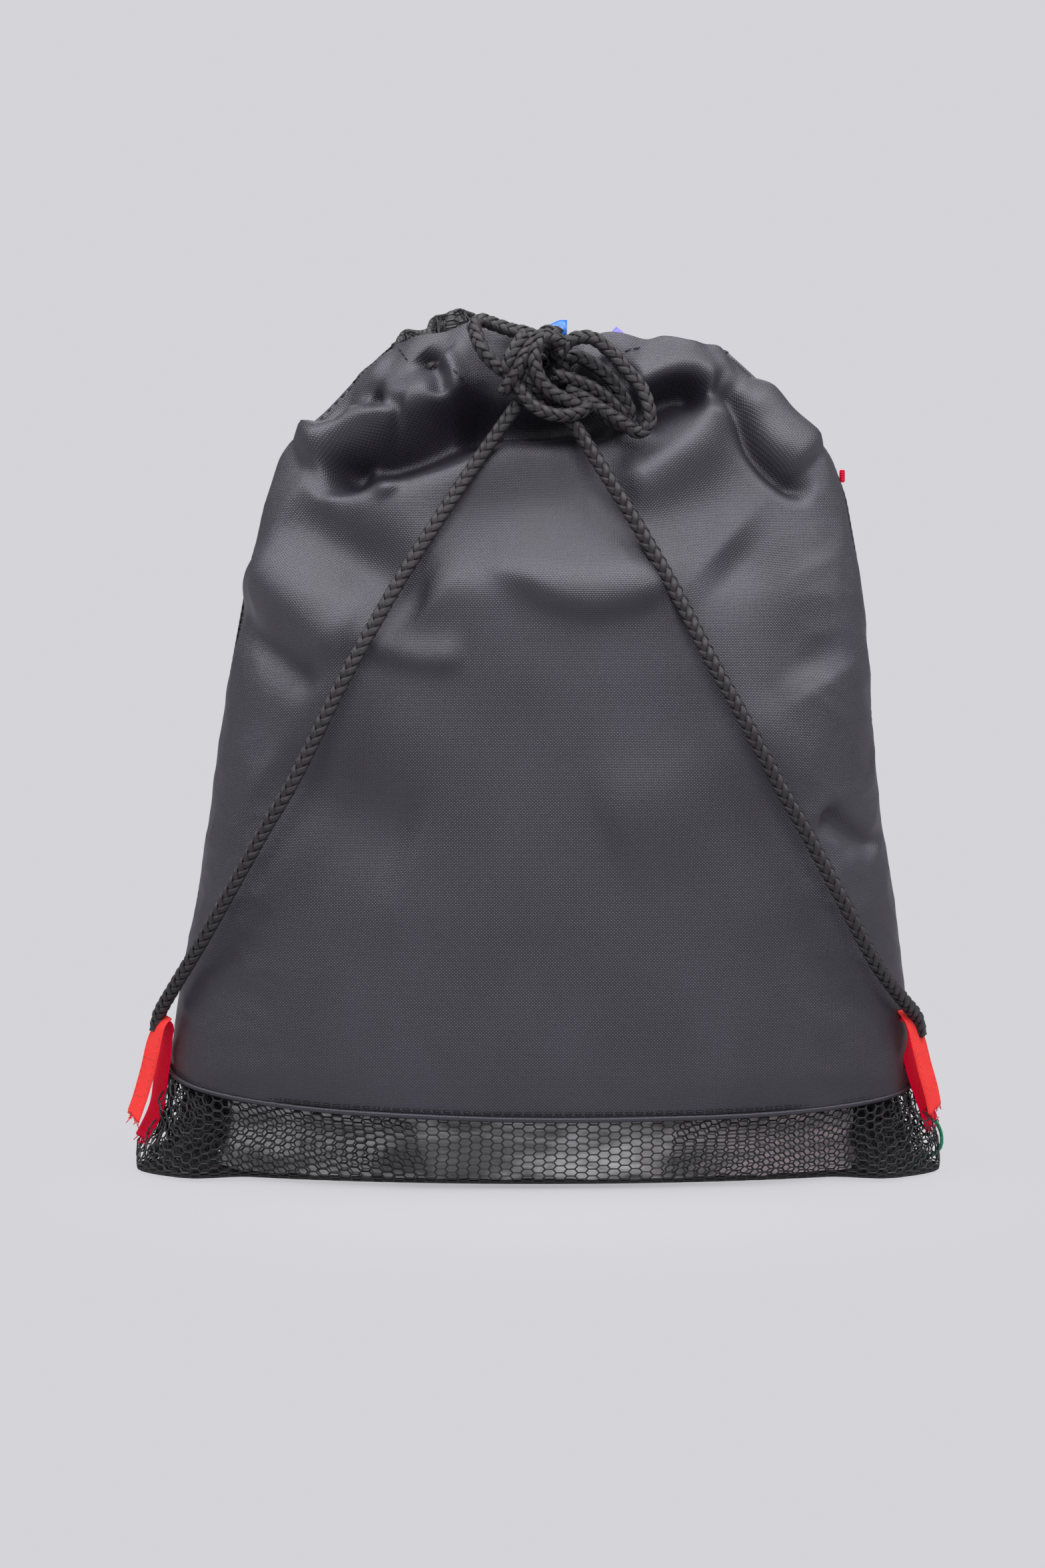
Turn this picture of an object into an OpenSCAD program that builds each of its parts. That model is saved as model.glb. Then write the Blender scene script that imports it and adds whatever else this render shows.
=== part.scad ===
/* [Bag] */
// Width of the flat bag, corner to corner along the floor
base_w = 320; // [310:2:330]
// Thickness of the filled bag, front to back
bag_d = 124; // [122:1:130]
// Height of the cloth panels where they meet the drawstring channel, mid front
panel_h = 311; // [309:1:311]
// The same height at the side seams
panel_side_h = 297; // [295:1:297]
// Thickness of cloth and mesh
cloth_t = 1; // [0.8:0.1:1.2]
// Height of the mesh strip at its lowest, mid front
mesh_h = 27; // [25:1:30]

/* [Mouth] */
// Height of the middle of the drawstring channel, mid front
channel_z = 323; // [322.5:0.5:324]
// How far the channel drops towards the side seams
channel_drop = 14; // [13:0.5:14]
// How far the channel leans inwards at the side seams
channel_lean = 45; // [40:1:50]
// Height of the channel, hem to stitching
channel_h = 22; // [20:1:24]
// Thickness of the channel with its cord
channel_t = 9.2; // [9:0.2:10]
// Wall of the channel
channel_wall = 0.9; // [0.7:0.1:1]

/* [Cord] */
// Diameter of the braided cord
cord_d = 6; // [5:0.5:6]

/* [Webbing] */
// Width of the red webbing
webbing_w = 18; // [15:1:20]
// Thickness of the folded, sewn webbing
webbing_t = 2.6; // [2:0.2:3]

/* [Contents] */
// Thickness of one folded sack
sack_t = 21; // [18:1:21]
// Width of one folded sack
sack_w = 224; // [200:2:226]
// Height of one folded sack
sack_h = 193; // [180:1:195]

/* [Hidden] */

cloth_black = [0.13, 0.13, 0.15];
cord_black = [0.08, 0.08, 0.09];
webbing_red = [0.9, 0.15, 0.12];

gap = 0.3;
turn_steps = 36;
w = base_w / 320;
d = bag_d / 124;

// Half-sizes of the filled bag against height: left, right, and front or rear
left_half = [[0, 160], [10, 158], [24, 150], [44, 146], [63, 144], [105, 136], [146, 129],
    [191, 123], [239, 114], [266, 106], [284, 101], [297, 84], [311, 72]];
right_half = [[0, 160], [10, 157], [24, 151], [44, 148], [63, 146], [105, 141], [146, 134],
    [191, 131], [239, 126], [266, 121], [284, 114], [297, 98], [311, 86]];
depth_half = [[0, 54], [10, 56], [24, 58], [44, 60], [63, 61], [105, 62], [199, 61],
    [224, 56], [243, 48], [262, 40], [284, 32], [297, 26], [311, 22]];
// How square a level is: 2 is an ellipse
squareness = [[0, 1.9], [24, 2.3], [44, 2.8], [199, 2.8], [284, 2.3], [311, 2]];
// Height of the seam between mesh and cloth against turn: 0 left, 90 front, 180 right
mesh_seam = [[0, 42], [30, 35], [60, 30], [90, mesh_h], [120, 28], [150, 31], [180, 36],
    [210, 33], [270, mesh_h], [330, 35], [360, 42]];

seam_y = 1.9;

// Points that the cords follow, each through its middle
left_strap_route = [[-8, -40, 302], [-25, -45, 278], [-39, -51, 257], [-53, -56, 235],
    [-64, -60, 216], [-75, -62, 196], [-93, -60, 160], [-106, -56, 138], [-119, -50, 115],
    [-131, -42, 94], [-142, -31, 76], [-149, -21, 64], [-151, -18, 56]];
right_strap_route = [[8, -41, 302], [21, -46, 282], [36, -51, 258], [51, -56, 232],
    [64, -62, 207], [78, -64, 182], [91, -61, 158], [103, -58, 137], [117, -54, 111],
    [130, -47, 87], [141, -36, 72], [148, -26, 63], [150, -23, 55]];
left_loop_route = [[-13, -39, 314], [-18, -38, 318], [-22, -37, 323], [-24, -34, 328], [-25, -30, 332],
    [-22, -27, 334], [-16, -27, 332], [-10, -29, 330], [-5, -31, 329], [-1, -34, 327]];
outer_loop_route = [[7, -40, 320], [12, -38, 326], [20, -37, 327], [27, -37, 322],
    [33, -37, 315], [39, -37, 308], [42, -38, 300], [42, -38, 294], [38, -39, 291],
    [33, -39, 294], [25, -40, 300], [17, -40, 306], [10, -40, 309]];
inner_loop_route = [[9, -31, 317], [14, -31, 320], [21, -31, 317], [27, -31, 312],
    [32, -31, 305], [35, -31, 298], [33, -31, 294], [28, -31, 295], [23, -31, 300],
    [17, -31, 305], [10, -32, 308]];

// Sewn corner of each tab, and where its cord end goes in
left_tab_foot = [-158, -13, 15];
left_tab_head = [-150, -18, 60];
right_tab_foot = [158, -13, 20];
right_tab_head = [149, -24, 59];

knot_at = [-2, -37, 313];

// Half-sizes of the drawn mouth: left, right, and front or rear
channel_left = 72;
channel_right = 86;
channel_deep = 20;
// Turn between a side seam and the end of a channel
channel_end = 5;

stack_x = 4;
sack_r = 9;
sack_step = sack_t + 0.5;
sack_z = 4.5;
film_t = 0.4;

function unit(v) = v / norm(v);
function mix(a, b, t) = a + (b - a) * t;
function half_x(z, turn) = w * lookup(z, cos(turn) > 0 ? left_half : right_half);
function half_y(z) = d * lookup(z, depth_half);

// A point on the bag: turn 0 is the left seam, 90 the front, 180 the right seam, 270 the rear
function skin(turn, z, inset = 0) =
    let (c = cos(turn), s = sin(turn), k = 2 / lookup(z, squareness))
    [
        -sign(c) * (half_x(z, turn) - inset) * pow(abs(c), k),
        -sign(s) * (half_y(z) - inset) * pow(abs(s), k),
        z
    ];

// The turn at which a panel starts, so that its edge stays clear of the side seam
function edge_turn(z) = asin(pow((seam_y + gap) / half_y(z), lookup(z, squareness) / 2));
function panel_turn(z, side, j) = side + mix(edge_turn(z), 180 - edge_turn(z), j / turn_steps);

function seam_z(side, j) = lookup(side + 180 * j / turn_steps, mesh_seam);
function panel_top(side, j) =
    mix(panel_side_h, panel_h, sin(side + 180 * j / turn_steps) ^ 2);

// Catmull-Rom curve through points
function bend(a, b, c, e, t) =
    0.5 * (2 * b + (c - a) * t + (2 * a - 5 * b + 4 * c - e) * t ^ 2
    + (3 * b - a - 3 * c + e) * t ^ 3);
function curve(points, steps) =
    let (last = len(points) - 1)
    concat(
        [for (i = [0:last - 1], s = [0:steps - 1])
            bend(points[max(i - 1, 0)], points[i], points[i + 1], points[min(i + 2, last)], s / steps)],
        [points[last]]
    );

// A sheet with thickness, from two grids of points, rows upwards and columns to the right
module sheet(outer, inner) {
    rows = len(outer);
    cols = len(outer[0]);
    n = rows * cols;
    points = concat([for (r = outer) for (p = r) p], [for (r = inner) for (p = r) p]);
    function o(i, j) = i * cols + j;
    function quad(a, b, c, e) = [[a, b, c], [a, c, e]];
    faces = concat(
        [for (i = [0:rows - 2], j = [0:cols - 2]) each
            quad(o(i, j), o(i + 1, j), o(i + 1, j + 1), o(i, j + 1))],
        [for (i = [0:rows - 2], j = [0:cols - 2]) each
            quad(n + o(i, j), n + o(i, j + 1), n + o(i + 1, j + 1), n + o(i + 1, j))],
        [for (j = [0:cols - 2]) each
            quad(o(0, j), o(0, j + 1), n + o(0, j + 1), n + o(0, j))],
        [for (j = [0:cols - 2]) each
            quad(o(rows - 1, j + 1), o(rows - 1, j), n + o(rows - 1, j), n + o(rows - 1, j + 1))],
        [for (i = [0:rows - 2]) each
            quad(o(i + 1, 0), o(i, 0), n + o(i, 0), n + o(i + 1, 0))],
        [for (i = [0:rows - 2]) each
            quad(o(i, cols - 1), o(i + 1, cols - 1), n + o(i + 1, cols - 1), n + o(i, cols - 1))]
    );
    polyhedron(points, faces);
}

// A closed skin over rings of points, capped at both ends
module loft(rings) {
    sides = len(rings[0]);
    last = len(rings) - 1;
    function r(i, s) = i * sides + s % sides;
    faces = concat(
        [for (i = [0:last - 1], s = [0:sides - 1]) each [
            [r(i, s + 1), r(i + 1, s + 1), r(i + 1, s)],
            [r(i, s + 1), r(i + 1, s), r(i, s)]]],
        [[for (s = [sides - 1:-1:0]) r(0, s)]],
        [[for (s = [0:sides - 1]) r(last, s)]]
    );
    polyhedron([for (ring = rings) each ring], faces);
}

// A hollow skin between rings of points outside and inside, open at both ends
module sleeve(outer, inner) {
    sides = len(outer[0]);
    last = len(outer) - 1;
    n = sides * (last + 1);
    function r(i, s) = i * sides + s % sides;
    function quad(a, b, c, e) = [[a, b, c], [a, c, e]];
    faces = [for (s = [0:sides - 1]) each concat(
        [for (i = [0:last - 1]) each
            quad(r(i, s + 1), r(i + 1, s + 1), r(i + 1, s), r(i, s))],
        [for (i = [0:last - 1]) each
            quad(n + r(i, s), n + r(i + 1, s), n + r(i + 1, s + 1), n + r(i, s + 1))],
        quad(r(0, s + 1), r(0, s), n + r(0, s), n + r(0, s + 1)),
        quad(r(last, s), r(last, s + 1), n + r(last, s + 1), n + r(last, s))
    )];
    polyhedron([for (ring = concat(outer, inner)) each ring], faces);
}

// A round cord along a path; flat_to is a direction that the path never takes
module cord(path, diameter, flat_to, sides = 8) {
    last = len(path) - 1;
    loft([for (i = [0:last])
        let (
            ahead = unit(path[min(i + 1, last)] - path[max(i - 1, 0)]),
            across = unit(cross(ahead, flat_to)),
            up = cross(across, ahead)
        )
        [for (s = [0:sides - 1])
            path[i] + diameter / 2 * (cos(360 * s / sides) * across + sin(360 * s / sides) * up)]]);
}

module panel(side) {
    rows = 22;
    function level(i, j) = mix(seam_z(side, j) + gap, panel_top(side, j), i / rows);
    function grid(inset) = [for (i = [0:rows]) [for (j = [0:turn_steps])
        let (z = level(i, j)) skin(panel_turn(z, side, j), z, inset)]];
    color(cloth_black) sheet(grid(0), grid(cloth_t));
}

// The mesh strip turns under the bag and reaches the bottom seam
module mesh_strip(side) {
    base_rows = 3;
    wall_rows = 3;
    wall_foot = 3;
    function foot(j, share, lift) =
        let (p = skin(panel_turn(0, side, j), 0, lift + cloth_t))
        [p.x, sign(p.y) * mix(seam_y, abs(p.y), share), lift];
    function wall(i, j, inset) =
        let (z = mix(wall_foot, seam_z(side, j) - gap, i / wall_rows))
        skin(panel_turn(z, side, j), z, inset);
    function grid(inset) = concat(
        [for (i = [0:base_rows]) [for (j = [0:turn_steps]) foot(j, i / base_rows + 0.02, inset)]],
        [for (i = [0:wall_rows]) [for (j = [0:turn_steps]) wall(i, j, inset)]]
    );
    color(cloth_black) sheet(grid(0), grid(cloth_t));
}

// The folded edge of the cloth, lying over the top of the mesh
module mesh_edge(side) {
    edge_d = 1.8;
    path = [for (j = [0:turn_steps])
        let (z = seam_z(side, j)) skin(panel_turn(z, side, j), z, -edge_d / 2 - gap)];
    color(cloth_black) cord(path, edge_d, [0, 0, 1]);
}

// Seam allowance down each side, turned to the inside
module side_seam(side) {
    allowance = 7;
    half_t = 1.6;
    steps = 18;
    foot = lookup(side, mesh_seam) + 1;
    rings = [for (i = [0:steps])
        let (z = mix(foot, panel_side_h, i / steps), edge = skin(side, z).x, s = -sign(edge))
        [
            [edge, s * half_t, z], [edge + s * allowance, s * half_t, z],
            [edge + s * allowance, -s * half_t, z], [edge, -s * half_t, z]
        ]];
    color(cloth_black) loft(rings);
}

module bottom_seam() {
    color("green")
        translate([-w * 154, -seam_y + gap, 0])
            cube([w * 308, 2 * (seam_y - gap), 2.4]);
}

// The middle of the drawstring channel, which drops towards the side seams
function channel_point(turn) =
    [
        -w * (cos(turn) > 0 ? channel_left : channel_right) * cos(turn),
        -d * channel_deep * sin(turn),
        channel_z - channel_drop * cos(turn) ^ 2
    ];

module channel(from, to) {
    steps = 14;
    profile = 12;
    function ring(turn, thick, high) =
        let (
            at = channel_point(turn),
            out = unit([at.x / channel_left ^ 1.5, at.y / channel_deep ^ 1.5, 0]),
            lean = channel_lean * cos(turn) ^ 2,
            face = out * cos(lean) + [0, 0, sin(lean)],
            up = [0, 0, cos(lean)] - out * sin(lean)
        )
        [for (s = [0:profile - 1])
            at + face * cos(360 * s / profile) * thick / 2 + up * sin(360 * s / profile) * high / 2];
    function tube(wall) = [for (i = [0:steps])
        ring(mix(from, to, i / steps), channel_t - 2 * wall, channel_h - 2 * wall)];
    sleeve(tube(0), tube(channel_wall));
}

module strap_side_channel() {
    exit_turn = 8;
    color(cloth_black) channel(channel_end, 90 - exit_turn);
    color(cloth_black) channel(90 + exit_turn, 180 - channel_end);
}

module rear_channel() {
    color(cloth_black) channel(180 + channel_end, 360 - channel_end);
}

// One cord runs round inside the channel and leaves it at the knot
module channel_cord() {
    left_exit = 85;
    right_exit = -267;
    turns = 35;
    path = concat(
        [[-6, -35, 318]],
        [for (i = [0:turns]) channel_point(mix(left_exit, right_exit, i / turns))],
        [[1.5, -35, 317]]
    );
    color(cord_black) cord(path, cord_d, [0, 0, 1]);
}

module knot() {
    wrap_r = 7.2;
    color(cord_black)
        hull() {
            translate(knot_at + [-2, -0.5, 3]) sphere(r = wrap_r, $fn = 32);
            translate(knot_at + [2, 0, -3]) sphere(r = wrap_r, $fn = 32);
        }
}

module left_strap_cord() {
    color(cord_black) cord(curve(left_strap_route, 2), cord_d, [0, 1, 0]);
}

module right_strap_cord() {
    color(cord_black) cord(curve(right_strap_route, 2), cord_d, [0, 1, 0]);
}

module left_bow_loop() {
    color(cord_black) cord(curve(left_loop_route, 3), cord_d, unit([0.2, 0.6, 0.8]));
}

module right_outer_bow_loop() {
    color(cord_black) cord(curve(outer_loop_route, 3), cord_d, [0, 1, 0]);
}

module right_inner_bow_loop() {
    color(cord_black) cord(curve(inner_loop_route, 3), cord_d, [0, 1, 0]);
}

// A bar across the webbing, at one end of a tab
module webbing_bar(at, along, length) {
    translate(at)
        rotate([0, 0, along])
            rotate([0, 90, 0]) cylinder(d = webbing_t, h = length, center = true, $fn = 24);
}

module tab(foot, head, foot_turn, head_turn) {
    color(webbing_red)
        hull() {
            webbing_bar(foot, foot_turn, webbing_w);
            webbing_bar(head - [0, 0, 1.8], head_turn, webbing_w * 0.55);
        }
}

module left_tab() { tab(left_tab_foot, left_tab_head, -50, -60); }

module right_tab() { tab(right_tab_foot, right_tab_head, 50, 60); }

// Two short rows of thread across each tab, standing on its face
module stitching(foot, head, turn) {
    thread_d = 0.9;
    row_l = 7;
    rows = 2;
    for (i = [0:rows - 1]) {
        at = mix(foot, head, 0.62 + 0.2 * i);
        translate(at)
            rotate([0, 0, turn])
                translate([0, -webbing_t / 2 - thread_d * 1.3, 0])
                    rotate([0, 90, 0]) cylinder(d = thread_d, h = row_l, center = true, $fn = 16);
    }
}

module left_tab_stitching() {
    color("white") stitching(left_tab_foot, left_tab_head, -55);
}

module right_tab_stitching() {
    color("white") stitching(right_tab_foot, right_tab_head, 55);
}

// A blank label sewn into the right side seam, folded towards the rear
module side_label() {
    label_l = 7;
    label_h = 5;
    label_t = 0.8;
    label_z = 271.5;
    label_turn = 78;
    color(webbing_red)
        translate([half_x(label_z, 180) + gap + label_t, seam_y, label_z])
            rotate([0, 0, label_turn]) cube([label_l, label_t, label_h]);
}

module rounded_slab(wide, deep, high, r) {
    hull()
        for (x = [-1, 1], y = [-1, 1], z = [-1, 1])
            translate([x * (wide / 2 - r), y * (deep / 2 - r), high / 2 + z * (high / 2 - r)])
                sphere(r = r, $fn = 24);
}

// A folded sack; place counts from the strap side, and the outer ones are narrower
module sack(place, tint) {
    outer = place == 0 || place == 3;
    outer_trim = 48;
    color(tint)
        translate([stack_x, (place - 1.5) * sack_step, sack_z])
            rounded_slab(sack_w - (outer ? outer_trim : 0), sack_t, sack_h, sack_r);
}

// A loose end of a sack that stands up in the mouth
module loose_end(x, y, top) {
    foot_z = sack_z + sack_h - 12;
    color("white")
        hull() {
            translate([x, y, foot_z]) cube([26, 7, 2], center = true);
            translate([x, y * 0.3, top - 1]) cube([9, 5, 2], center = true);
        }
}

module blue_sack() {
    color("royalblue") union() {
        sack(1, "royalblue");
        loose_end(8, -0.5 * sack_step, 332);
    }
}

module purple_sack() {
    color("mediumpurple") union() {
        sack(2, "mediumpurple");
        loose_end(31, 0.5 * sack_step, 331);
    }
}

module red_sack() { sack(0, "crimson"); }

module green_sack() { sack(3, "seagreen"); }

// The film bag round the folded sacks, open at the top
module clear_sleeve() {
    corner_r = 40;
    wide = sack_w + 6;
    deep = 4 * sack_step + 1;
    module outline(grow) {
        hull()
            for (x = [-1, 1], y = [-1, 1])
                translate([x * (wide / 2 - corner_r), y * (deep / 2 - corner_r)])
                    circle(r = corner_r + grow, $fn = 48);
    }
    color([0.85, 0.87, 0.9, 0.5])
        translate([stack_x, 0, 2.8])
            difference() {
                linear_extrude(sack_h + 2) outline(film_t);
                translate([0, 0, film_t * 2]) linear_extrude(sack_h + 4) outline(0);
            }
}

panel(0);  // strap_side_panel
panel(180);  // rear_panel
mesh_strip(0);  // strap_side_mesh
mesh_strip(180);  // rear_mesh
mesh_edge(0);  // strap_side_mesh_edge
mesh_edge(180);  // rear_mesh_edge
strap_side_channel();
rear_channel();
side_seam(0);  // left_side_seam
side_seam(180);  // right_side_seam
bottom_seam();
channel_cord();
knot();
left_strap_cord();
right_strap_cord();
left_tab();
right_tab();
left_tab_stitching();
right_tab_stitching();
left_bow_loop();
right_outer_bow_loop();
right_inner_bow_loop();
side_label();
clear_sleeve();
blue_sack();
purple_sack();
red_sack();
green_sack();
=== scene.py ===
"""Drawstring bag for jumping sacks: a filled cloth and mesh bag, tied in a bow."""
import math

import bpy
import numpy as np
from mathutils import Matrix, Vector


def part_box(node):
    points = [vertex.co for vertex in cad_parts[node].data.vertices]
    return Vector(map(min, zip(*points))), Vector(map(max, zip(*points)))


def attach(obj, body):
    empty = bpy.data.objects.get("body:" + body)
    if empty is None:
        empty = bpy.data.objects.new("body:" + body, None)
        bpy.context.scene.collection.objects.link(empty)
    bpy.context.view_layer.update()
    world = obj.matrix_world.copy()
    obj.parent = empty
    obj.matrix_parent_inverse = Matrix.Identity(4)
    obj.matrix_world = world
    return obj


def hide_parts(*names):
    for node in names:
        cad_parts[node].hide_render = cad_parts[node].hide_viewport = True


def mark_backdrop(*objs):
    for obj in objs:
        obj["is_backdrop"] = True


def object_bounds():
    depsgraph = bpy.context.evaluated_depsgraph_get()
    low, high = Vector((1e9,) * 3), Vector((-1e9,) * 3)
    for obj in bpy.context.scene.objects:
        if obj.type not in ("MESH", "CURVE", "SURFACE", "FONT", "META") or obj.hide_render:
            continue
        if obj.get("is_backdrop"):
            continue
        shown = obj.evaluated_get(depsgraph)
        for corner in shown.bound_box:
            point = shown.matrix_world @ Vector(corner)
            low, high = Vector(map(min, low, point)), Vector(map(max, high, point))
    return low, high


bl_info = {
    "name": "Sack race bag",
    "version": (1, 0, 0),
    "blender": (4, 5, 0),
    "location": "View3D > Sidebar > Sack Bag",
    "description": "Builds the soft skin, cords and contents of a drawstring bag round its frame",
    "category": "Object",
}

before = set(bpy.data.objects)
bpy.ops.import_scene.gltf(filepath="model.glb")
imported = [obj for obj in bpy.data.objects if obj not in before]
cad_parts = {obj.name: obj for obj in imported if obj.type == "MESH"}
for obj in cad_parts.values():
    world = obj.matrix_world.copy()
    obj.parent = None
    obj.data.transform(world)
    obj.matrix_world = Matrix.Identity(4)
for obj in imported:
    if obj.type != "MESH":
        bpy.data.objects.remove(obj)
CAD_LOW, CAD_HIGH = (corner.copy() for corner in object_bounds())

MM = 0.001

# Half-sizes of the filled bag against height, in millimetres: left, right, front and rear
LEFT_HALF = [(0, 160), (10, 158), (24, 150), (44, 146), (63, 144), (105, 136), (146, 129),
             (191, 123), (239, 114), (266, 106), (284, 101), (297, 85), (311, 72), (325, 57),
             (334, 44)]
RIGHT_HALF = [(0, 160), (10, 157), (24, 151), (44, 148), (63, 146), (105, 141), (146, 134),
              (191, 131), (239, 126), (266, 121), (284, 114), (297, 98), (311, 86), (325, 70),
              (334, 52)]
DEPTH_HALF = [(0, 54), (10, 56), (24, 58), (44, 60), (63, 61), (105, 62), (175, 61), (199, 60),
              (219, 58), (229, 56), (243, 48), (262, 39), (284, 32), (297, 27), (311, 25),
              (323, 25), (329, 23), (334, 19)]
SQUARENESS = [(0, 1.9), (24, 2.3), (44, 2.8), (199, 2.8), (284, 2.3), (311, 2)]
# Heights against turn, in degrees: 0 is the left side seam, 90 the strap side, 270 the rear
MESH_SEAM = [(0, 42), (30, 35), (60, 30), (90, 27), (120, 28), (150, 31), (180, 36), (210, 33),
             (270, 27), (330, 35), (360, 42)]
HEM = [(0, 324), (20, 326), (32, 327), (45, 330), (55, 332), (70, 331), (84, 326), (95, 323),
       (106, 326), (115, 329), (129, 326), (140, 328), (145, 325), (162, 324), (180, 321),
       (210, 324), (240, 326), (270, 326), (285, 328), (305, 337), (320, 339), (335, 334),
       (350, 328), (360, 324)]

# How far the lower corners of the mesh slump towards the strap side
EAR_FORWARD = 15
# How far a hem is turned down inside, and the room that it leaves for the cord
HEM_DEPTH = 19
HEM_ROOM = 6.5
# In metres
GATHERED_THICKNESS = 0.0006

# Folds of the strap side, as drawn from the front in millimetres: name, height, reach above
# the line, reach below it, and points from left to right
FOLDS = [
    ("shoulder ridge", 10, 11, 8,
     [(-96, 283), (-87, 287), (-77, 291), (-62, 296), (-47, 301), (-31, 308), (-18, 311)]),
    ("left hem hollow", -8, 6, 8, [(-92, 294), (-80, 300), (-70, 303), (-58, 305)]),
    ("shoulder hollow", -17, 8, 9,
     [(-84, 273), (-74, 277), (-60, 281), (-45, 286), (-30, 293), (-14, 297)]),
    ("lower lip", 8, 5, 20,
     [(-95, 277), (-91, 270), (-83, 263), (-72, 264), (-62, 267), (-46, 271), (-31, 275),
      (-18, 281), (-8, 286), (6, 288), (20, 289), (34, 286)]),
    ("hollow under the knot", -18, 8, 6, [(-34, 297), (-16, 294), (0, 293), (16, 295), (30, 293)]),
    ("bow pocket", -14, 7, 7, [(36, 296), (44, 302), (54, 306), (66, 305)]),
    ("band over the pocket", 7, 7, 5, [(34, 306), (46, 312), (58, 314), (70, 309)]),
    ("bright arc", 9, 9, 12,
     [(26, 268), (38, 272), (50, 279), (60, 287), (66, 297), (68, 306)]),
    ("right edge", -8, 4, 4,
     [(70, 310), (75, 302), (79, 293), (84, 284), (91, 276), (100, 270), (108, 268)]),
    ("right lobe", 5, 22, 8,
     [(78, 310), (86, 301), (93, 292), (100, 284), (106, 278)]),
    ("centre swell", 4.5, 34, 14,
     [(-74, 238), (-44, 236), (-14, 238), (14, 238), (44, 240), (74, 246)]),
    ("smile", 5, 14, 5,
     [(-22, 240), (-7, 234), (8, 228), (20, 226), (30, 227), (40, 230), (51, 238)]),
    ("left valley", -7, 12, 12, [(-98, 262), (-78, 250), (-58, 236), (-42, 222)]),
    ("left flank ridge", 5, 14, 10, [(-114, 240), (-100, 232), (-86, 220), (-70, 206)]),
    ("left flank crease", -4, 6, 8, [(-122, 225), (-112, 215), (-98, 202), (-84, 192)]),
    ("short ridge", 3, 8, 5, [(-72, 214), (-56, 208), (-42, 205), (-26, 206)]),
    ("lower left drape", -4, 18, 24, [(-108, 160), (-78, 144), (-46, 132)]),
    ("lower right drape", 3, 18, 24, [(20, 142), (60, 158), (96, 186)]),
    ("right crease", -5, 4, 5, [(108, 146), (120, 138), (134, 129)]),
    ("right flank", -5, 16, 18, [(70, 248), (92, 226), (112, 194)]),
    ("hem flap valley", -7, 5, 4, [(-47, 321), (-39, 313), (-36, 303)]),
    ("hem flap ridge", 6, 4, 4, [(-37, 322), (-31, 314), (-30, 303)]),
    ("left hem crease", -5, 4, 6, [(-66, 307), (-58, 301), (-50, 298)]),
    ("left hem ridge", 4, 5, 6, [(-76, 300), (-64, 298), (-54, 292)]),
    ("crossing crease", 4, 5, 4, [(-70, 280), (-62, 273), (-55, 264)]),
    ("right hem crease", -4, 4, 4, [(24, 320), (30, 313), (40, 312)]),
    ("right hem bulge", 3.5, 6, 6, [(14, 320), (22, 316), (26, 308)]),
]

# Points that the cords follow, each through its middle, in millimetres
LEFT_STRAP = [(-8, -40, 302), (-25, -45, 278), (-39, -51, 257), (-53, -56, 235),
              (-64, -60, 216), (-75, -62, 196), (-93, -60, 160), (-106, -56, 138),
              (-119, -50, 115), (-131, -42, 94), (-142, -31, 76), (-149, -21, 64),
              (-151, -18, 56)]
RIGHT_STRAP = [(8, -41, 302), (21, -46, 282), (36, -51, 258), (51, -56, 232), (64, -62, 207),
               (78, -64, 182), (91, -61, 158), (103, -58, 137), (117, -54, 111), (130, -47, 87),
               (141, -36, 72), (148, -26, 63), (150, -23, 55)]
LEFT_LOOP = [(-13, -39, 314), (-18, -38, 318), (-22, -37, 323), (-24, -34, 328), (-25, -30, 332),
             (-22, -27, 334), (-16, -27, 332), (-10, -29, 330), (-5, -31, 329), (-1, -34, 327)]
OUTER_LOOP = [(7, -40, 320), (12, -38, 326), (20, -37, 327), (27, -37, 322), (33, -37, 315),
              (39, -37, 308), (42, -38, 300), (42, -38, 294), (38, -39, 291), (33, -39, 294),
              (25, -40, 299), (17, -40, 304), (10, -40, 307)]
INNER_LOOP = [(9, -31, 317), (14, -31, 320), (21, -31, 317), (27, -31, 312), (32, -31, 305),
              (35, -31, 298), (33, -31, 294), (28, -31, 295), (23, -31, 300), (17, -31, 305),
              (10, -32, 308)]
MIDDLE_LOOP = [(5, -40, 313), (13, -38, 311), (20, -37, 308), (26, -36, 304), (31, -35.5, 299),
               (34, -34, 295)]
KNOT_WRAPS = [
    [(8, -36, 328), (3, -40, 329), (-2, -42, 325), (-5, -43, 318), (-4, -43, 311),
     (0, -42, 306), (7, -41, 303), (13, -38, 302)],
    [(-14, -36, 316), (-10, -40, 311), (-5, -41, 305), (2, -41, 301), (9, -39, 300),
     (13, -35, 302)],
    [(-9, -33, 323), (-11, -33, 314), (-6, -33, 305), (4, -32, 303), (9, -33, 310),
     (8, -34, 319), (2, -35, 324)],
    [(-6, -36, 328), (-10, -39, 322), (-12, -40, 316), (-9, -38, 310)],
    [(9, -40, 325), (2, -44, 327), (-1.5, -46.5, 321), (-1, -47, 314), (2.5, -46.5, 308),
     (8.5, -46, 304), (15, -43, 301)],
    [(-9, -42, 311), (-6, -45, 306), (-2, -47, 301), (4, -48, 298), (10, -47, 297.5),
     (16, -44, 299), (19, -41, 302)],
    [(-14, -41, 306), (-11, -43.5, 310), (-8, -45, 314), (-6, -45, 319), (-2, -42, 325)],
]

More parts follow.
